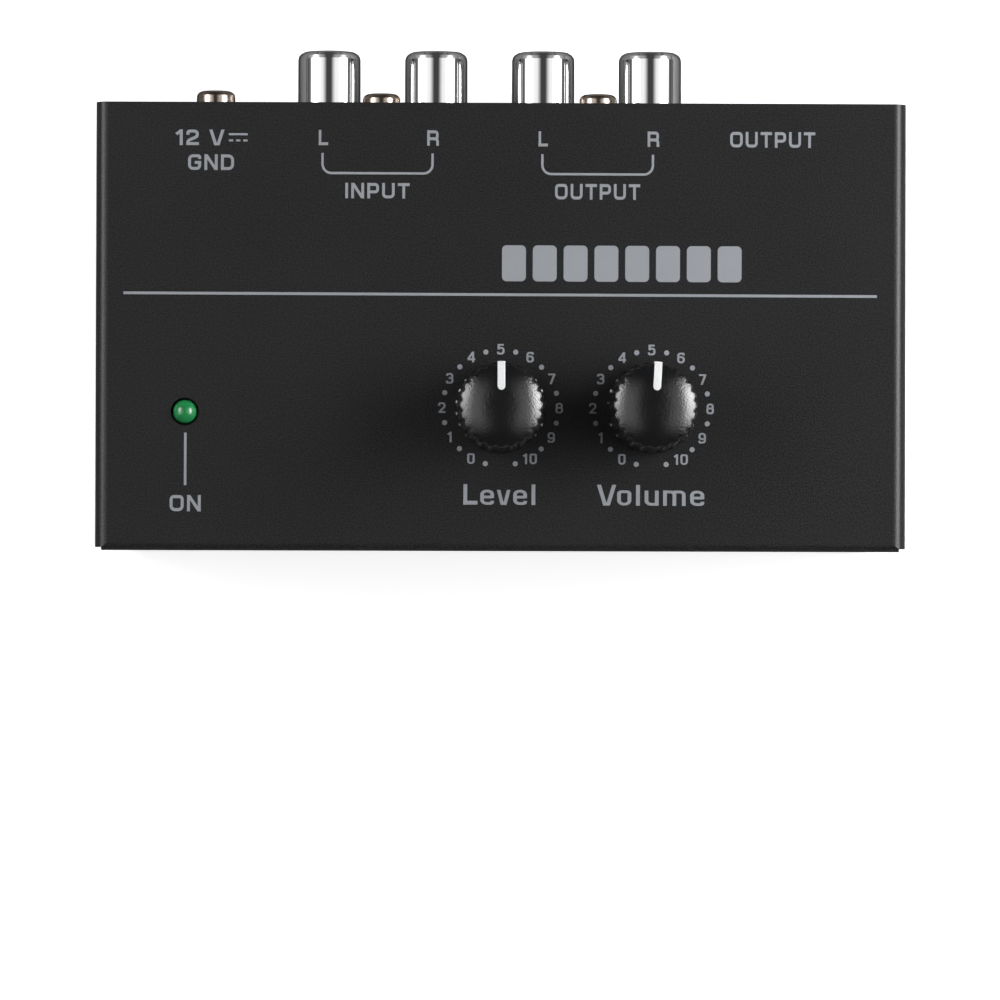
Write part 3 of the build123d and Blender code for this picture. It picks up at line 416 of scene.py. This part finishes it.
def pointerLift(radius):
    # from the CAD knob's ball-shaped crown to this one
    ball = (knob["edge"] ** 2 + knob["crown"] ** 2) / (2 * knob["crown"])
    return crownHeight(radius) - (knob["height"] - ball + math.sqrt(ball * ball - radius * radius))


def fluteCut(phase):
    # how deep a flute is at a phase of its pitch, 0 on the rib and 0.5 in the flute
    across = (phase - 0.5) * 2 * math.pi * knob["foot"] / knob["flutes"]
    radius = knob["fluteRound"]
    if abs(across) >= radius:
        return 0.0
    return max(0.0, knob["fluteDepth"] - radius + math.sqrt(radius ** 2 - across ** 2))


def onFlute(px, py, pz, phase):
    here = math.atan2(py, px) / (2 * math.pi) * knob["flutes"] % 1
    outside = math.hypot(px, py) > knob["fluteFrom"] and pz > knob["skirt"] + knob["ledge"] / 2
    return outside and abs(here - phase) < knob["fluteNear"]


def knobOutline():
    # from the shaft's bore out over the foot, up the side and over the crown to the middle
    foot, edge, bore = knob["foot"], knob["edge"], knob["bore"]
    edgeAt = knob["height"] - knob["crown"]
    lean = (foot - edge) / edgeAt
    inside = [(knob["gripTip"], knob["grip"]), (bore, knob["grip"]), (bore, knob["boreEase"]),
              (bore + knob["boreEase"], 0), (knob["hub"], 0), (knob["hub"], knob["well"]),
              (knob["wall"], knob["well"]), (knob["wall"], 0)]
    side = [(foot - knob["footRound"], 0), (foot - knob["footEase"], knob["footEase"]),
            (foot, knob["footRound"])]
    heights = (knob["skirt"], knob["skirt"] + knob["ledge"], *knob["sideRings"], edgeAt - knob["edgeRound"])
    side += [(foot - lean * z, z) for z in heights]
    rim = edge - knob["edgeRound"]
    side += [(edge - knob["edgeEase"], edgeAt - knob["edgeEase"]), (rim, crownHeight(rim))]
    crown = [(radius, crownHeight(radius)) for radius in knob["crownRings"]] + [(0, knob["height"])]
    return inside + side + crown


def makeKnob(name, x, body, node):
    piece = turned(name, knobOutline(), knob["flutes"] * knob["perFlute"])
    openMesh(piece)
    for step in range(knob["perFlute"]):
        phase = step / knob["perFlute"]
        cut = fluteCut(phase)
        if cut == 0:
            continue
        pickPoints(piece, lambda px, py, pz: onFlute(px, py, pz, phase))
        shrink = 1 - cut / knob["foot"]
        bpy.ops.transform.resize(value=(shrink, shrink, 1), center_override=(0, 0, 0))
    closeUp(piece, smoothing)
    settle(piece, (x, preamp["knobY"], preamp["knobFoot"]))
    fitOut(piece, body, "knob_plastic", node)


def makePointer(name, x, body, node):
    # the CAD bar, bent to the crown ring by ring and rounded along its edges
    piece = copyPiece(frame["nodes"][node])
    piece.name = name
    openMesh(piece)
    bpy.ops.mesh.select_all(action="SELECT")
    bpy.ops.mesh.remove_doubles(threshold=touching)
    for step in range(int(knob["edge"] / pointer["ring"]) + 1):
        bpy.ops.mesh.select_all(action="DESELECT")
        near, far = step * pointer["ring"], (step + 1) * pointer["ring"]
        pickPoints(piece, lambda px, py, pz: near <= math.hypot(px - x, py - preamp["knobY"]) < far)
        lift = pointerLift(min(knob["edge"], (near + far) / 2))
        bpy.ops.transform.translate(value=(0, 0, lift * mm))
    bpy.ops.mesh.select_all(action="SELECT")
    bpy.ops.transform.resize(value=(pointer["narrow"], 1, 1), center_override=(x * mm, 0, 0))
    bpy.ops.transform.translate(value=(0, pointer["out"] * mm, 0))
    takeUp(piece)
    rounding = piece.modifiers.new("rounding", "BEVEL")
    rounding.width = pointer["round"] * mm
    rounding.segments = pointer["roundSteps"]
    rounding.angle_limit = math.radians(pointer["sharp"])
    bpy.ops.object.modifier_apply(modifier=rounding.name)
    bpy.ops.object.shade_smooth_by_angle(angle=math.radians(smoothing))
    fitOut(piece, body, "pointer_white", node)


makeKnob("levelKnob", preamp["levelX"], "level_control", "level_knob")
makeKnob("volumeKnob", preamp["volumeX"], "volume_control", "volume_knob")
makePointer("levelPointer", preamp["levelX"], "level_control", "level_pointer")
makePointer("volumePointer", preamp["volumeX"], "volume_control", "volume_pointer")
print("knobs made")

# printing on the top: the rise in millimetres, the section's thickness as a part of a stroke's width,
# the tilt in degrees, the rest in cap heights
ink = {"rise": 0.012, "section": 0.014, "stroke": 0.186, "space": 0.2, "wordSpace": 0.42, "overlap": 0.002,
       "joined": 1e-5, "tilt": -0.10}
# a letter is its width, top, corner radius, sideways stretch and strokes, in cap heights
glyphs = {
    "I": (0.2, 1.0, 0, 1, [[(0.1, -0.1), (0.1, 1.1)]]),
    "L": (0.7, 1.0, 0, 1, [[(0.1, -0.1), (0.1, 1.1)], [(0, 0.1), (0.7, 0.1)]]),
    "T": (0.8, 1.0, 0, 1, [[(0.4, -0.1), (0.4, 1.1)], [(0, 0.9), (0.8, 0.9)]]),
    "N": (0.88, 1.0, 0, 1, [
        [(0.1, -0.1), (0.1, 1.1)],
        [(0.78, -0.1), (0.78, 1.1)],
        [(0.03, 1.1), (0.85, -0.1)]]),
    "P": (0.8, 1.0, 0.17, 1, [
        [(0.1, -0.1), (0.1, 1.1)],
        [(0.02, 0.9), (0.7, 0.9), (0.7, 0.42), (0.02, 0.42)]]),
    "R": (0.84, 1.0, 0.15, 1, [
        [(0.1, -0.1), (0.1, 1.1)],
        [(0.02, 0.9), (0.72, 0.9), (0.72, 0.45), (0.02, 0.45)],
        [(0.45, 0.45), (0.74, 0.42), (0.74, -0.1)]]),
    "U": (0.86, 1.0, 0.2, 1, [[(0.1, 1.1), (0.1, 0.1), (0.76, 0.1), (0.76, 1.1)]]),
    "O": (0.9, 1.0, 0.24, 1, [[(0.45, 0.9), (0.8, 0.9), (0.8, 0.1), (0.1, 0.1), (0.1, 0.9), (0.45, 0.9)]]),
    "D": (0.86, 1.0, 0.26, 1, [
        [(0.1, -0.1), (0.1, 1.1)],
        [(0.02, 0.9), (0.76, 0.9), (0.76, 0.1), (0.02, 0.1)]]),
    "G": (0.86, 1.0, 0.22, 1, [
        [(0.76, 0.7), (0.76, 0.9), (0.1, 0.9), (0.1, 0.1), (0.76, 0.1), (0.76, 0.5)],
        [(0.44, 0.48), (0.86, 0.48)]]),
    "V": (0.92, 1.0, 0, 1, [[(0.06, 1.12), (0.42, -0.06)], [(0.86, 1.12), (0.5, -0.06)]]),
    "1": (0.42, 1.0, 0, 1, [[(0.32, -0.1), (0.32, 1.1)], [(0.34, 0.94), (0.02, 0.7)]]),
    "2": (0.76, 1.0, 0.2, 1, [
        [(0.1, 0.66), (0.1, 0.9), (0.66, 0.9), (0.66, 0.55), (0.1, 0.3), (0.1, 0.02)],
        [(0.02, 0.1), (0.76, 0.1)]]),
    "e": (0.5, 0.74, 0.16, 1.38, [
        [(0.07, 0.38), (0.43, 0.38)],
        [(0.43, 0.33), (0.43, 0.67), (0.07, 0.67), (0.07, 0.07), (0.43, 0.07), (0.43, 0.2)]]),
    "o": (0.5, 0.74, 0.18, 1.38, [
        [(0.25, 0.67), (0.43, 0.67), (0.43, 0.07), (0.07, 0.07), (0.07, 0.67), (0.25, 0.67)]]),
    "u": (0.5, 0.73, 0.17, 1.37, [
        [(0.07, 0.84), (0.07, 0.07), (0.43, 0.07)],
        [(0.43, -0.1), (0.43, 0.84)]]),
    "v": (0.5, 0.73, 0, 1.38, [[(0.05, 0.84), (0.22, -0.06)], [(0.45, 0.84), (0.28, -0.06)]]),
    "l": (0.22, 1.0, 0, 1, [[(0.11, -0.1), (0.11, 1.1)]]),
    "m": (0.8, 0.74, 0.14, 1.36, [
        [(0.07, -0.1), (0.07, 0.84)],
        [(0.05, 0.67), (0.4, 0.67), (0.4, -0.1)],
        [(0.37, 0.67), (0.73, 0.67), (0.73, -0.1)]]),
}
# small letters have thinner strokes
inkWidths = {"e": 0.13, "o": 0.13, "u": 0.132, "v": 0.125, "m": 0.132, "l": 0.19}
# some pairs stand closer than the rest
closer = {"Vo": 0.16, "Le": 0.07, "ev": 0.08, "ve": 0.08}
# the dial's figures are lighter
figures = {
    "0": (0.6, 1.0, 0.22, 1.14, [
        [(0.3, 0.925), (0.525, 0.925), (0.525, 0.075), (0.075, 0.075), (0.075, 0.925), (0.3, 0.925)]]),
    "1": (0.42, 1.0, 0, 1.14, [[(0.3, -0.1), (0.3, 1.1)], [(0.32, 0.93), (0.06, 0.74)]]),
    "2": (0.6, 1.0, 0.2, 1.14, [
        [(0.08, 0.68), (0.08, 0.925), (0.52, 0.925), (0.52, 0.58), (0.1, 0.1)],
        [(0.03, 0.075), (0.6, 0.075)]]),
    "3": (0.6, 1.0, 0.19, 1.14, [
        [(0.08, 0.74), (0.08, 0.925), (0.5, 0.925), (0.5, 0.53), (0.22, 0.53)],
        [(0.22, 0.53), (0.52, 0.53), (0.52, 0.075), (0.07, 0.075), (0.07, 0.27)]]),
    "4": (0.62, 1.0, 0, 1.14, [
        [(0.45, -0.1), (0.45, 1.1)],
        [(0.47, 1.0), (0.03, 0.3)],
        [(0, 0.28), (0.62, 0.28)]]),
    "5": (0.6, 1.0, 0.2, 1.14, [
        [(0.12, 0.5), (0.12, 1.1)],
        [(0.08, 0.925), (0.55, 0.925)],
        [(0.1, 0.48), (0.16, 0.62), (0.525, 0.62), (0.525, 0.075), (0.07, 0.075), (0.07, 0.26)]]),
    "6": (0.6, 1.0, 0.21, 1.14, [
        [(0.52, 0.74), (0.52, 0.925), (0.075, 0.925), (0.075, 0.075), (0.525, 0.075), (0.525, 0.58),
         (0.1, 0.58)]]),
    "7": (0.6, 1.0, 0, 1.14, [[(0.02, 0.925), (0.6, 0.925)], [(0.56, 0.97), (0.2, -0.1)]]),
    "8": (0.6, 1.0, 0.18, 1.14, [
        [(0.3, 0.54), (0.09, 0.54), (0.09, 0.925), (0.51, 0.925), (0.51, 0.54), (0.3, 0.54)],
        [(0.3, 0.54), (0.53, 0.54), (0.53, 0.075), (0.07, 0.075), (0.07, 0.54), (0.3, 0.54)]]),
    "9": (0.6, 1.0, 0.21, 1.14, [
        [(0.08, 0.26), (0.08, 0.075), (0.525, 0.075), (0.525, 0.925), (0.075, 0.925), (0.075, 0.42),
         (0.5, 0.42)]]),
}
# each word with its left end, right end, base line and height, from the middle of the top
words = [
    ("12 V", -42.74, -36.36, 23.57, 2.06), ("GND", -41.14, -35.09, 20.32, 2.06),
    ("L", -24.02, -22.78, 23.65, 2.0), ("R", -9.80, -8.24, 23.67, 2.02),
    ("INPUT", -20.51, -12.05, 16.71, 2.03),
    ("L", 4.82, 6.05, 23.63, 2.0), ("R", 19.13, 20.68, 23.66, 2.02), ("OUTPUT", 7.01, 18.19, 16.69, 2.06),
    ("OUTPUT", 29.97, 41.15, 23.63, 2.06),
    ("Level", -4.83, 4.66, -23.42, 2.7), ("Volume", 12.70, 26.80, -23.44, 2.72),
    ("ON", -43.33, -39.22, -24.46, 2.14),
]
# each drawn line with its width and corner radius
lines = [
    ([(-49.51, 4.16), (49.33, 4.16)], 0.36, 0), ([(-41.30, -14.14), (-41.30, -21.03)], 0.34, 0),
    ([(-23.50, 22.64), (-23.50, 20.01), (-9.07, 20.01), (-9.07, 22.64)], 0.31, 1.18),
    ([(5.34, 22.62), (5.34, 20.02), (19.85, 20.02), (19.85, 22.62)], 0.31, 1.18),
    ([(-35.80, 25.04), (-33.34, 25.04)], 0.27, 0), ([(-35.80, 24.22), (-35.23, 24.22)], 0.27, 0),
    ([(-34.85, 24.22), (-34.28, 24.22)], 0.27, 0), ([(-33.91, 24.22), (-33.34, 24.22)], 0.27, 0),
]
lineSteps = 8  # in each corner's arc
dial = {
    "dots": 7.58, "dotSize": 0.68, "dotSides": 20, "dotDepth": 0.02, "dotBevel": 0.004, "dotCount": 12,
    "firstDot": 15, "numbers": 7.7, "digit": 1.38, "stroke": 0.175, "space": 0.2, "last": 10,
    "firstNumber": -150, "step": 30,
}
blocks = {"left": 0.1, "right": 31.55, "low": 5.92, "high": 10.65, "count": 8, "gap": 0.9, "corner": 0.6,
          "cornerSteps": 5, "depth": 0.025}


def makeSection():
    # the flat section that every inked stroke is swept with
    outline = bpy.data.curves.new("inkSection", "CURVE")
    spline = outline.splines.new("POLY")
    spline.points.add(3)
    half, thick = 0.5, ink["section"]
    for spot, (x, y) in zip(spline.points, ((-half, 0), (half, 0), (half, thick), (-half, thick))):
        spot.co = (x, y, 0, 1)
    spline.use_cyclic_u = True
    section = bpy.data.objects.new("inkSection", outline)
    bpy.context.collection.objects.link(section)
    return section


inkSection = makeSection()


def sweepStrokes(name, strokes, scale=1.0):
    # strokes are (points, width, lift); a curve is swept and becomes a mesh
    # a stroke that ends where it starts is a closed loop
    drawing = bpy.data.curves.new(name, "CURVE")
    drawing.dimensions = "3D"
    drawing.twist_mode = "Z_UP"
    drawing.bevel_mode = "OBJECT"
    drawing.bevel_object = inkSection
    drawing.use_fill_caps = True
    for points, width, lift in strokes:
        spline = drawing.splines.new("POLY")
        if points[0] == points[-1]:
            spline.use_cyclic_u = True
            points = points[1:]
        spline.points.add(len(points) - 1)
        for spot, (x, y) in zip(spline.points, points):
            spot.co = (x * scale, y * scale, lift * scale, 1)
            spot.radius = width * scale
    piece = bpy.data.objects.new(name, drawing)
    bpy.context.collection.objects.link(piece)
    takeUp(piece)
    bpy.ops.object.convert(target="MESH")
    piece = bpy.context.object
    # the end caps come loose from the strokes
    openMesh(piece)
    bpy.ops.mesh.select_all(action="SELECT")
    bpy.ops.mesh.remove_doubles(threshold=ink["joined"] * scale)
    clearAll()
    return piece


def makeGlyph(shape, stroke):
    width, top, corner, stretch, strokes = shape
    # each stroke lies a little over the one before, so that no two faces share a plane
    drawn = [(roundCorners(points, corner) if corner else points, stroke, ink["overlap"] * index)
             for index, points in enumerate(strokes)]
    piece = sweepStrokes("glyph", drawn)
    openMesh(piece)
    for level, facing in ((0, -1), (top, 1)):
        bpy.ops.mesh.select_all(action="SELECT")
        bpy.ops.mesh.bisect(plane_co=(0, level, 0), plane_no=(0, facing, 0), use_fill=True, clear_outer=True)
    bpy.ops.mesh.select_all(action="SELECT")
    bpy.ops.transform.resize(value=(stretch, 1, 1), center_override=(0, 0, 0))
    clearAll()
    return piece, width * stretch


glyphStore = {letter: makeGlyph(shape, inkWidths.get(letter, ink["stroke"]))
              for letter, shape in glyphs.items()}
figureStore = {letter: makeGlyph(shape, dial["stroke"]) for letter, shape in figures.items()}
inked = []


def layWord(word, store, space):
    # where each letter starts, and how long the word is, in cap heights
    reach, spots = 0.0, []
    for letter, following in zip(word, word[1:] + " "):
        if letter == " ":
            reach += ink["wordSpace"]
            continue
        spots.append((letter, reach))
        reach += store[letter][1] + space - closer.get(letter + following, 0)
    return spots, reach - space


def printWord(word, left, right, base, height, store=glyphStore, space=ink["space"]):
    spots, reach = layWord(word, store, space)
    wide = (right - left) / reach
    for letter, at in spots:
        copy = copyPiece(store[letter][0])
        copy.scale = (wide * mm, height * mm, height * mm)
        copy.location = ((left + at * wide) * mm, base * mm, 0)
        inked.append(copy)


def printBlocks():
    # a plain row of equal blocks
    pitch = (blocks["right"] - blocks["left"] + blocks["gap"]) / blocks["count"]
    for index in range(blocks["count"]):
        clearAll()
        wide, high = pitch - blocks["gap"], blocks["high"] - blocks["low"]
        x = blocks["left"] + pitch * index + wide / 2
        bpy.ops.mesh.primitive_plane_add(size=1, location=(x * mm, (blocks["low"] + high / 2) * mm, 0))
        piece = bpy.context.object
        piece.scale = (wide * mm, high * mm, 1)
        bpy.ops.object.transform_apply(location=True, rotation=True, scale=True)
        openMesh(piece)
        bpy.ops.mesh.select_all(action="SELECT")
        bpy.ops.mesh.bevel(offset=blocks["corner"] * mm, segments=blocks["cornerSteps"], affect="VERTICES")
        bpy.ops.mesh.select_all(action="SELECT")
        bpy.ops.mesh.extrude_region_move(TRANSFORM_OT_translate={"value": (0, 0, blocks["depth"] * mm)})
        clearAll()
        inked.append(piece)


def printDial(x, y):
    for index in range(dial["dotCount"]):
        angle = math.radians(dial["firstDot"] + dial["step"] * index)
        spot = (x + dial["dots"] * math.sin(angle), y - dial["dots"] * math.cos(angle), dial["dotDepth"] / 2)
        place = [step * mm for step in spot]
        clearAll()
        bpy.ops.mesh.primitive_cylinder_add(vertices=dial["dotSides"], radius=dial["dotSize"] / 2 * mm,
                                            depth=dial["dotDepth"] * mm, location=place)
        piece = bpy.context.object
        openMesh(piece, "FACE")
        bpy.ops.mesh.select_all(action="SELECT")
        bpy.ops.mesh.bevel(offset=dial["dotBevel"] * mm, segments=1)
        clearAll()
        inked.append(piece)
    for number in range(dial["last"] + 1):
        angle = math.radians(dial["firstNumber"] + dial["step"] * number)
        figure, high = str(number), dial["digit"]
        half = layWord(figure, figureStore, dial["space"])[1] * high / 2
        middle, base = x + dial["numbers"] * math.sin(angle), y + dial["numbers"] * math.cos(angle) - high / 2
        printWord(figure, middle - half, middle + half, base, high, figureStore, dial["space"])


for entry in words:
    printWord(*entry)
for place in (preamp["levelX"], preamp["volumeX"]):
    printDial(place, preamp["knobY"] - preamp["printY"])
printBlocks()
drawnLines = [(roundCorners(points, corner, lineSteps) if corner else points, width, 0)
              for points, width, corner in lines]
inked.append(sweepStrokes("lines", drawnLines, mm))
clearAll()
for piece in inked:
    piece.select_set(True)
bpy.context.view_layer.objects.active = inked[-1]
bpy.ops.object.join()
panelPrint = bpy.context.object
panelPrint.name = "panelPrint"
settle(panelPrint, (0, preamp["printY"], preamp["top"] + ink["rise"]), (0, 0, ink["tilt"]))
spares = [entry[0] for store in (glyphStore, figureStore) for entry in store.values()]
for spare in spares + [inkSection]:
    bpy.data.objects.remove(spare)
openMesh(panelPrint)
bpy.ops.mesh.select_all(action="SELECT")
bpy.ops.mesh.normals_make_consistent(inside=False)
takeUp(panelPrint)
bpy.ops.object.shade_flat()
fitOut(panelPrint, "case", "panel_print")
print("printing done", len(panelPrint.data.polygons), "faces")

# the floor brightens from lift to 1 between near and far, in metres from the middle
floorLook = {"size": 6.0, "tone": 0.76, "mirrorTone": 0.3, "lift": 0.72, "near": 0.13, "far": 0.45}


def mirroredRays(tree, path):
    return addMath(tree, "MAXIMUM", path.outputs["Is Glossy Ray"], path.outputs["Is Transmission Ray"])


def makeFloor():
    clearAll()
    bpy.ops.mesh.primitive_plane_add(size=floorLook["size"], location=(0, 0, 0))
    floor = bpy.context.object
    floor.name = "floor"
    paper = bpy.data.materials.new("paperFloor")
    paper.use_nodes = True
    tree = paper.node_tree
    tree.nodes.clear()
    matte = addNode(tree, "ShaderNodeBsdfDiffuse")
    white = addNode(tree, "ShaderNodeEmission")
    path = addNode(tree, "ShaderNodeLightPath")
    plain, mirrored = [(floorLook[key],) * 3 for key in ("tone", "mirrorTone")]
    tone = mixColours(tree, mirroredRays(tree, path), plain, mirrored)
    tree.links.new(tone, matte.inputs["Color"])
    distance = addNode(tree, "ShaderNodeVectorMath", operation="LENGTH")
    tree.links.new(addNode(tree, "ShaderNodeTexCoord").outputs["Object"], distance.inputs[0])
    lift = addRange(tree, distance.outputs["Value"], floorLook["near"], floorLook["far"],
                    floorLook["lift"], 1)
    seen = addMath(tree, "MULTIPLY", path.outputs["Is Camera Ray"], lift)
    tree.links.new(seen, white.inputs["Strength"])
    both = addNode(tree, "ShaderNodeAddShader")
    tree.links.new(matte.outputs[0], both.inputs[0])
    tree.links.new(white.outputs[0], both.inputs[1])
    out = addNode(tree, "ShaderNodeOutputMaterial")
    tree.links.new(both.outputs[0], out.inputs["Surface"])
    floor.data.materials.append(paper)


makeFloor()

# soft boxes left and right, and low fills before and behind that no reflection shows
# sizes are in metres and turns in degrees from +X
# drop runs from a box's upper edge, 0, to its lower edge, 1, and fade runs along the box
# each gives the places where the light starts, is full and ends
softBoxes = {
    "right": {"turn": 0, "zenith": 58, "away": 0.38, "high": 0.42, "long": 0.6, "level": 15.0,
              "mirrored": True, "drop": (0.06, 0.42, 0.7), "fade": (0.1, 0.63, 0.95)},
    "left": {"turn": 180, "zenith": 58, "away": 0.38, "high": 0.42, "long": 0.6, "level": 7.2,
             "mirrored": True, "drop": (0.06, 0.42, 0.7), "fade": (0.05, 0.29, 0.84)},
    "rear": {"turn": 90, "zenith": 80, "away": 0.5, "high": 0.14, "long": 0.5, "level": 7.0,
             "mirrored": False, "drop": (0, 0.5, 1), "fade": (0, 0.5, 1)},
    "front": {"turn": -90, "zenith": 80, "away": 0.5, "high": 0.14, "long": 0.5, "level": 5.5,
              "mirrored": False, "drop": (0, 0.5, 1), "fade": (0, 0.5, 1)},
}


def makeSoftBox(name, box):
    clearAll()
    lean, turn = math.radians(box["zenith"]), math.radians(box["turn"])
    aim = Vector((math.sin(lean) * math.cos(turn), math.sin(lean) * math.sin(turn), math.cos(lean)))
    bpy.ops.object.light_add(type="AREA", location=aim * box["away"])
    lamp = bpy.context.object
    lamp.name = name + "SoftBox"
    lamp.data.shape = "RECTANGLE"
    lamp.data.size = box["high"]
    lamp.data.size_y = box["long"]
    lamp.rotation_euler = (0, lean, turn)
    lamp.visible_glossy = box["mirrored"]
    # the level is how bright the lamp's face is
    lamp.data.energy = box["level"] * math.pi * box["high"] * box["long"]
    lamp.data.use_nodes = True
    tree = lamp.data.node_tree
    spot = addNode(tree, "ShaderNodeSeparateXYZ")
    tree.links.new(addNode(tree, "ShaderNodeTexCoord").outputs["UV"], spot.inputs[0])
    fade = 1.0
    for axis, (first, full, last) in (("X", box["drop"]), ("Y", box["fade"])):
        for end in (first, last):
            part = addRange(tree, spot.outputs[axis], end, full, 0, 1, "SMOOTHSTEP")
            fade = addMath(tree, "MULTIPLY", part, fade)
    tree.links.new(fade, tree.nodes["Emission"].inputs["Strength"])


for boxName, box in softBoxes.items():
    makeSoftBox(boxName, box)

# in reflections the room is dark overhead, pale to both sides and along the horizon
worldLook = {"ambient": 0.07, "overhead": 0.08, "horizon": 0.35, "horizonTop": 0.14, "sides": 1.45,
             "sideStart": (0.08, 0.45), "sideEnd": (1.02, 0.8), "ends": (0.75, 0.15)}


def makeWorld():
    world = bpy.data.worlds.new("studio")
    bpy.context.scene.world = world
    world.use_nodes = True
    tree = world.node_tree
    tree.nodes.clear()
    path = addNode(tree, "ShaderNodeLightPath")
    place = addNode(tree, "ShaderNodeSeparateXYZ")
    tree.links.new(addNode(tree, "ShaderNodeTexCoord").outputs["Generated"], place.inputs[0])
    sideways, endways = [addMath(tree, "ABSOLUTE", place.outputs[axis], 0.0) for axis in ("X", "Y")]
    sides = addRange(tree, sideways, *worldLook["sideStart"], 0, worldLook["sides"], "SMOOTHSTEP")
    for value, stops in ((endways, worldLook["ends"]), (sideways, worldLook["sideEnd"])):
        sides = addMath(tree, "MULTIPLY", sides, addRange(tree, value, *stops, 0, 1, "SMOOTHSTEP"))
    low = addRange(tree, place.outputs["Z"], 0, worldLook["horizonTop"],
                   worldLook["horizon"], worldLook["overhead"])
    mirrored, seen = mirroredRays(tree, path), path.outputs["Is Camera Ray"]
    level = addMath(tree, "MULTIPLY", mirrored, addMath(tree, "MAXIMUM", low, sides))
    other = addMath(tree, "SUBTRACT", 1.0, addMath(tree, "MAXIMUM", mirrored, seen))
    level = addMath(tree, "ADD", level, addMath(tree, "MULTIPLY", other, worldLook["ambient"]))
    sky = addNode(tree, "ShaderNodeBackground")
    tree.links.new(addMath(tree, "ADD", level, seen), sky.inputs["Strength"])
    tree.links.new(sky.outputs[0], addNode(tree, "ShaderNodeOutputWorld").inputs["Surface"])


makeWorld()

# in millimetres, with the roll in degrees
viewpoint = {"from": (-3.99, -31.35, 635.0), "to": (-0.05, -26.78, 35.0), "roll": 0.17, "lens": 164.72,
             "sensor": 36, "clip": 10}


def makeCamera():
    bpy.ops.object.camera_add()
    camera = bpy.context.object
    camera.name = "viewCamera"
    camera.data.lens = viewpoint["lens"]
    camera.data.sensor_width = viewpoint["sensor"]
    camera.data.clip_start = viewpoint["clip"] * mm
    ahead = (Vector(viewpoint["to"]) - Vector(viewpoint["from"])).normalized()
    across = ahead.cross(Vector((0, 1, 0))).normalized()
    facing = Matrix((across, across.cross(ahead), -ahead)).transposed()
    facing = facing @ Matrix.Rotation(math.radians(viewpoint["roll"]), 3, "Z")
    camera.matrix_world = Matrix.Translation(Vector(viewpoint["from"]) * mm) @ facing.to_4x4()
    bpy.context.scene.camera = camera


makeCamera()
bpy.context.scene.view_settings.view_transform = "Standard"
print("stage set")
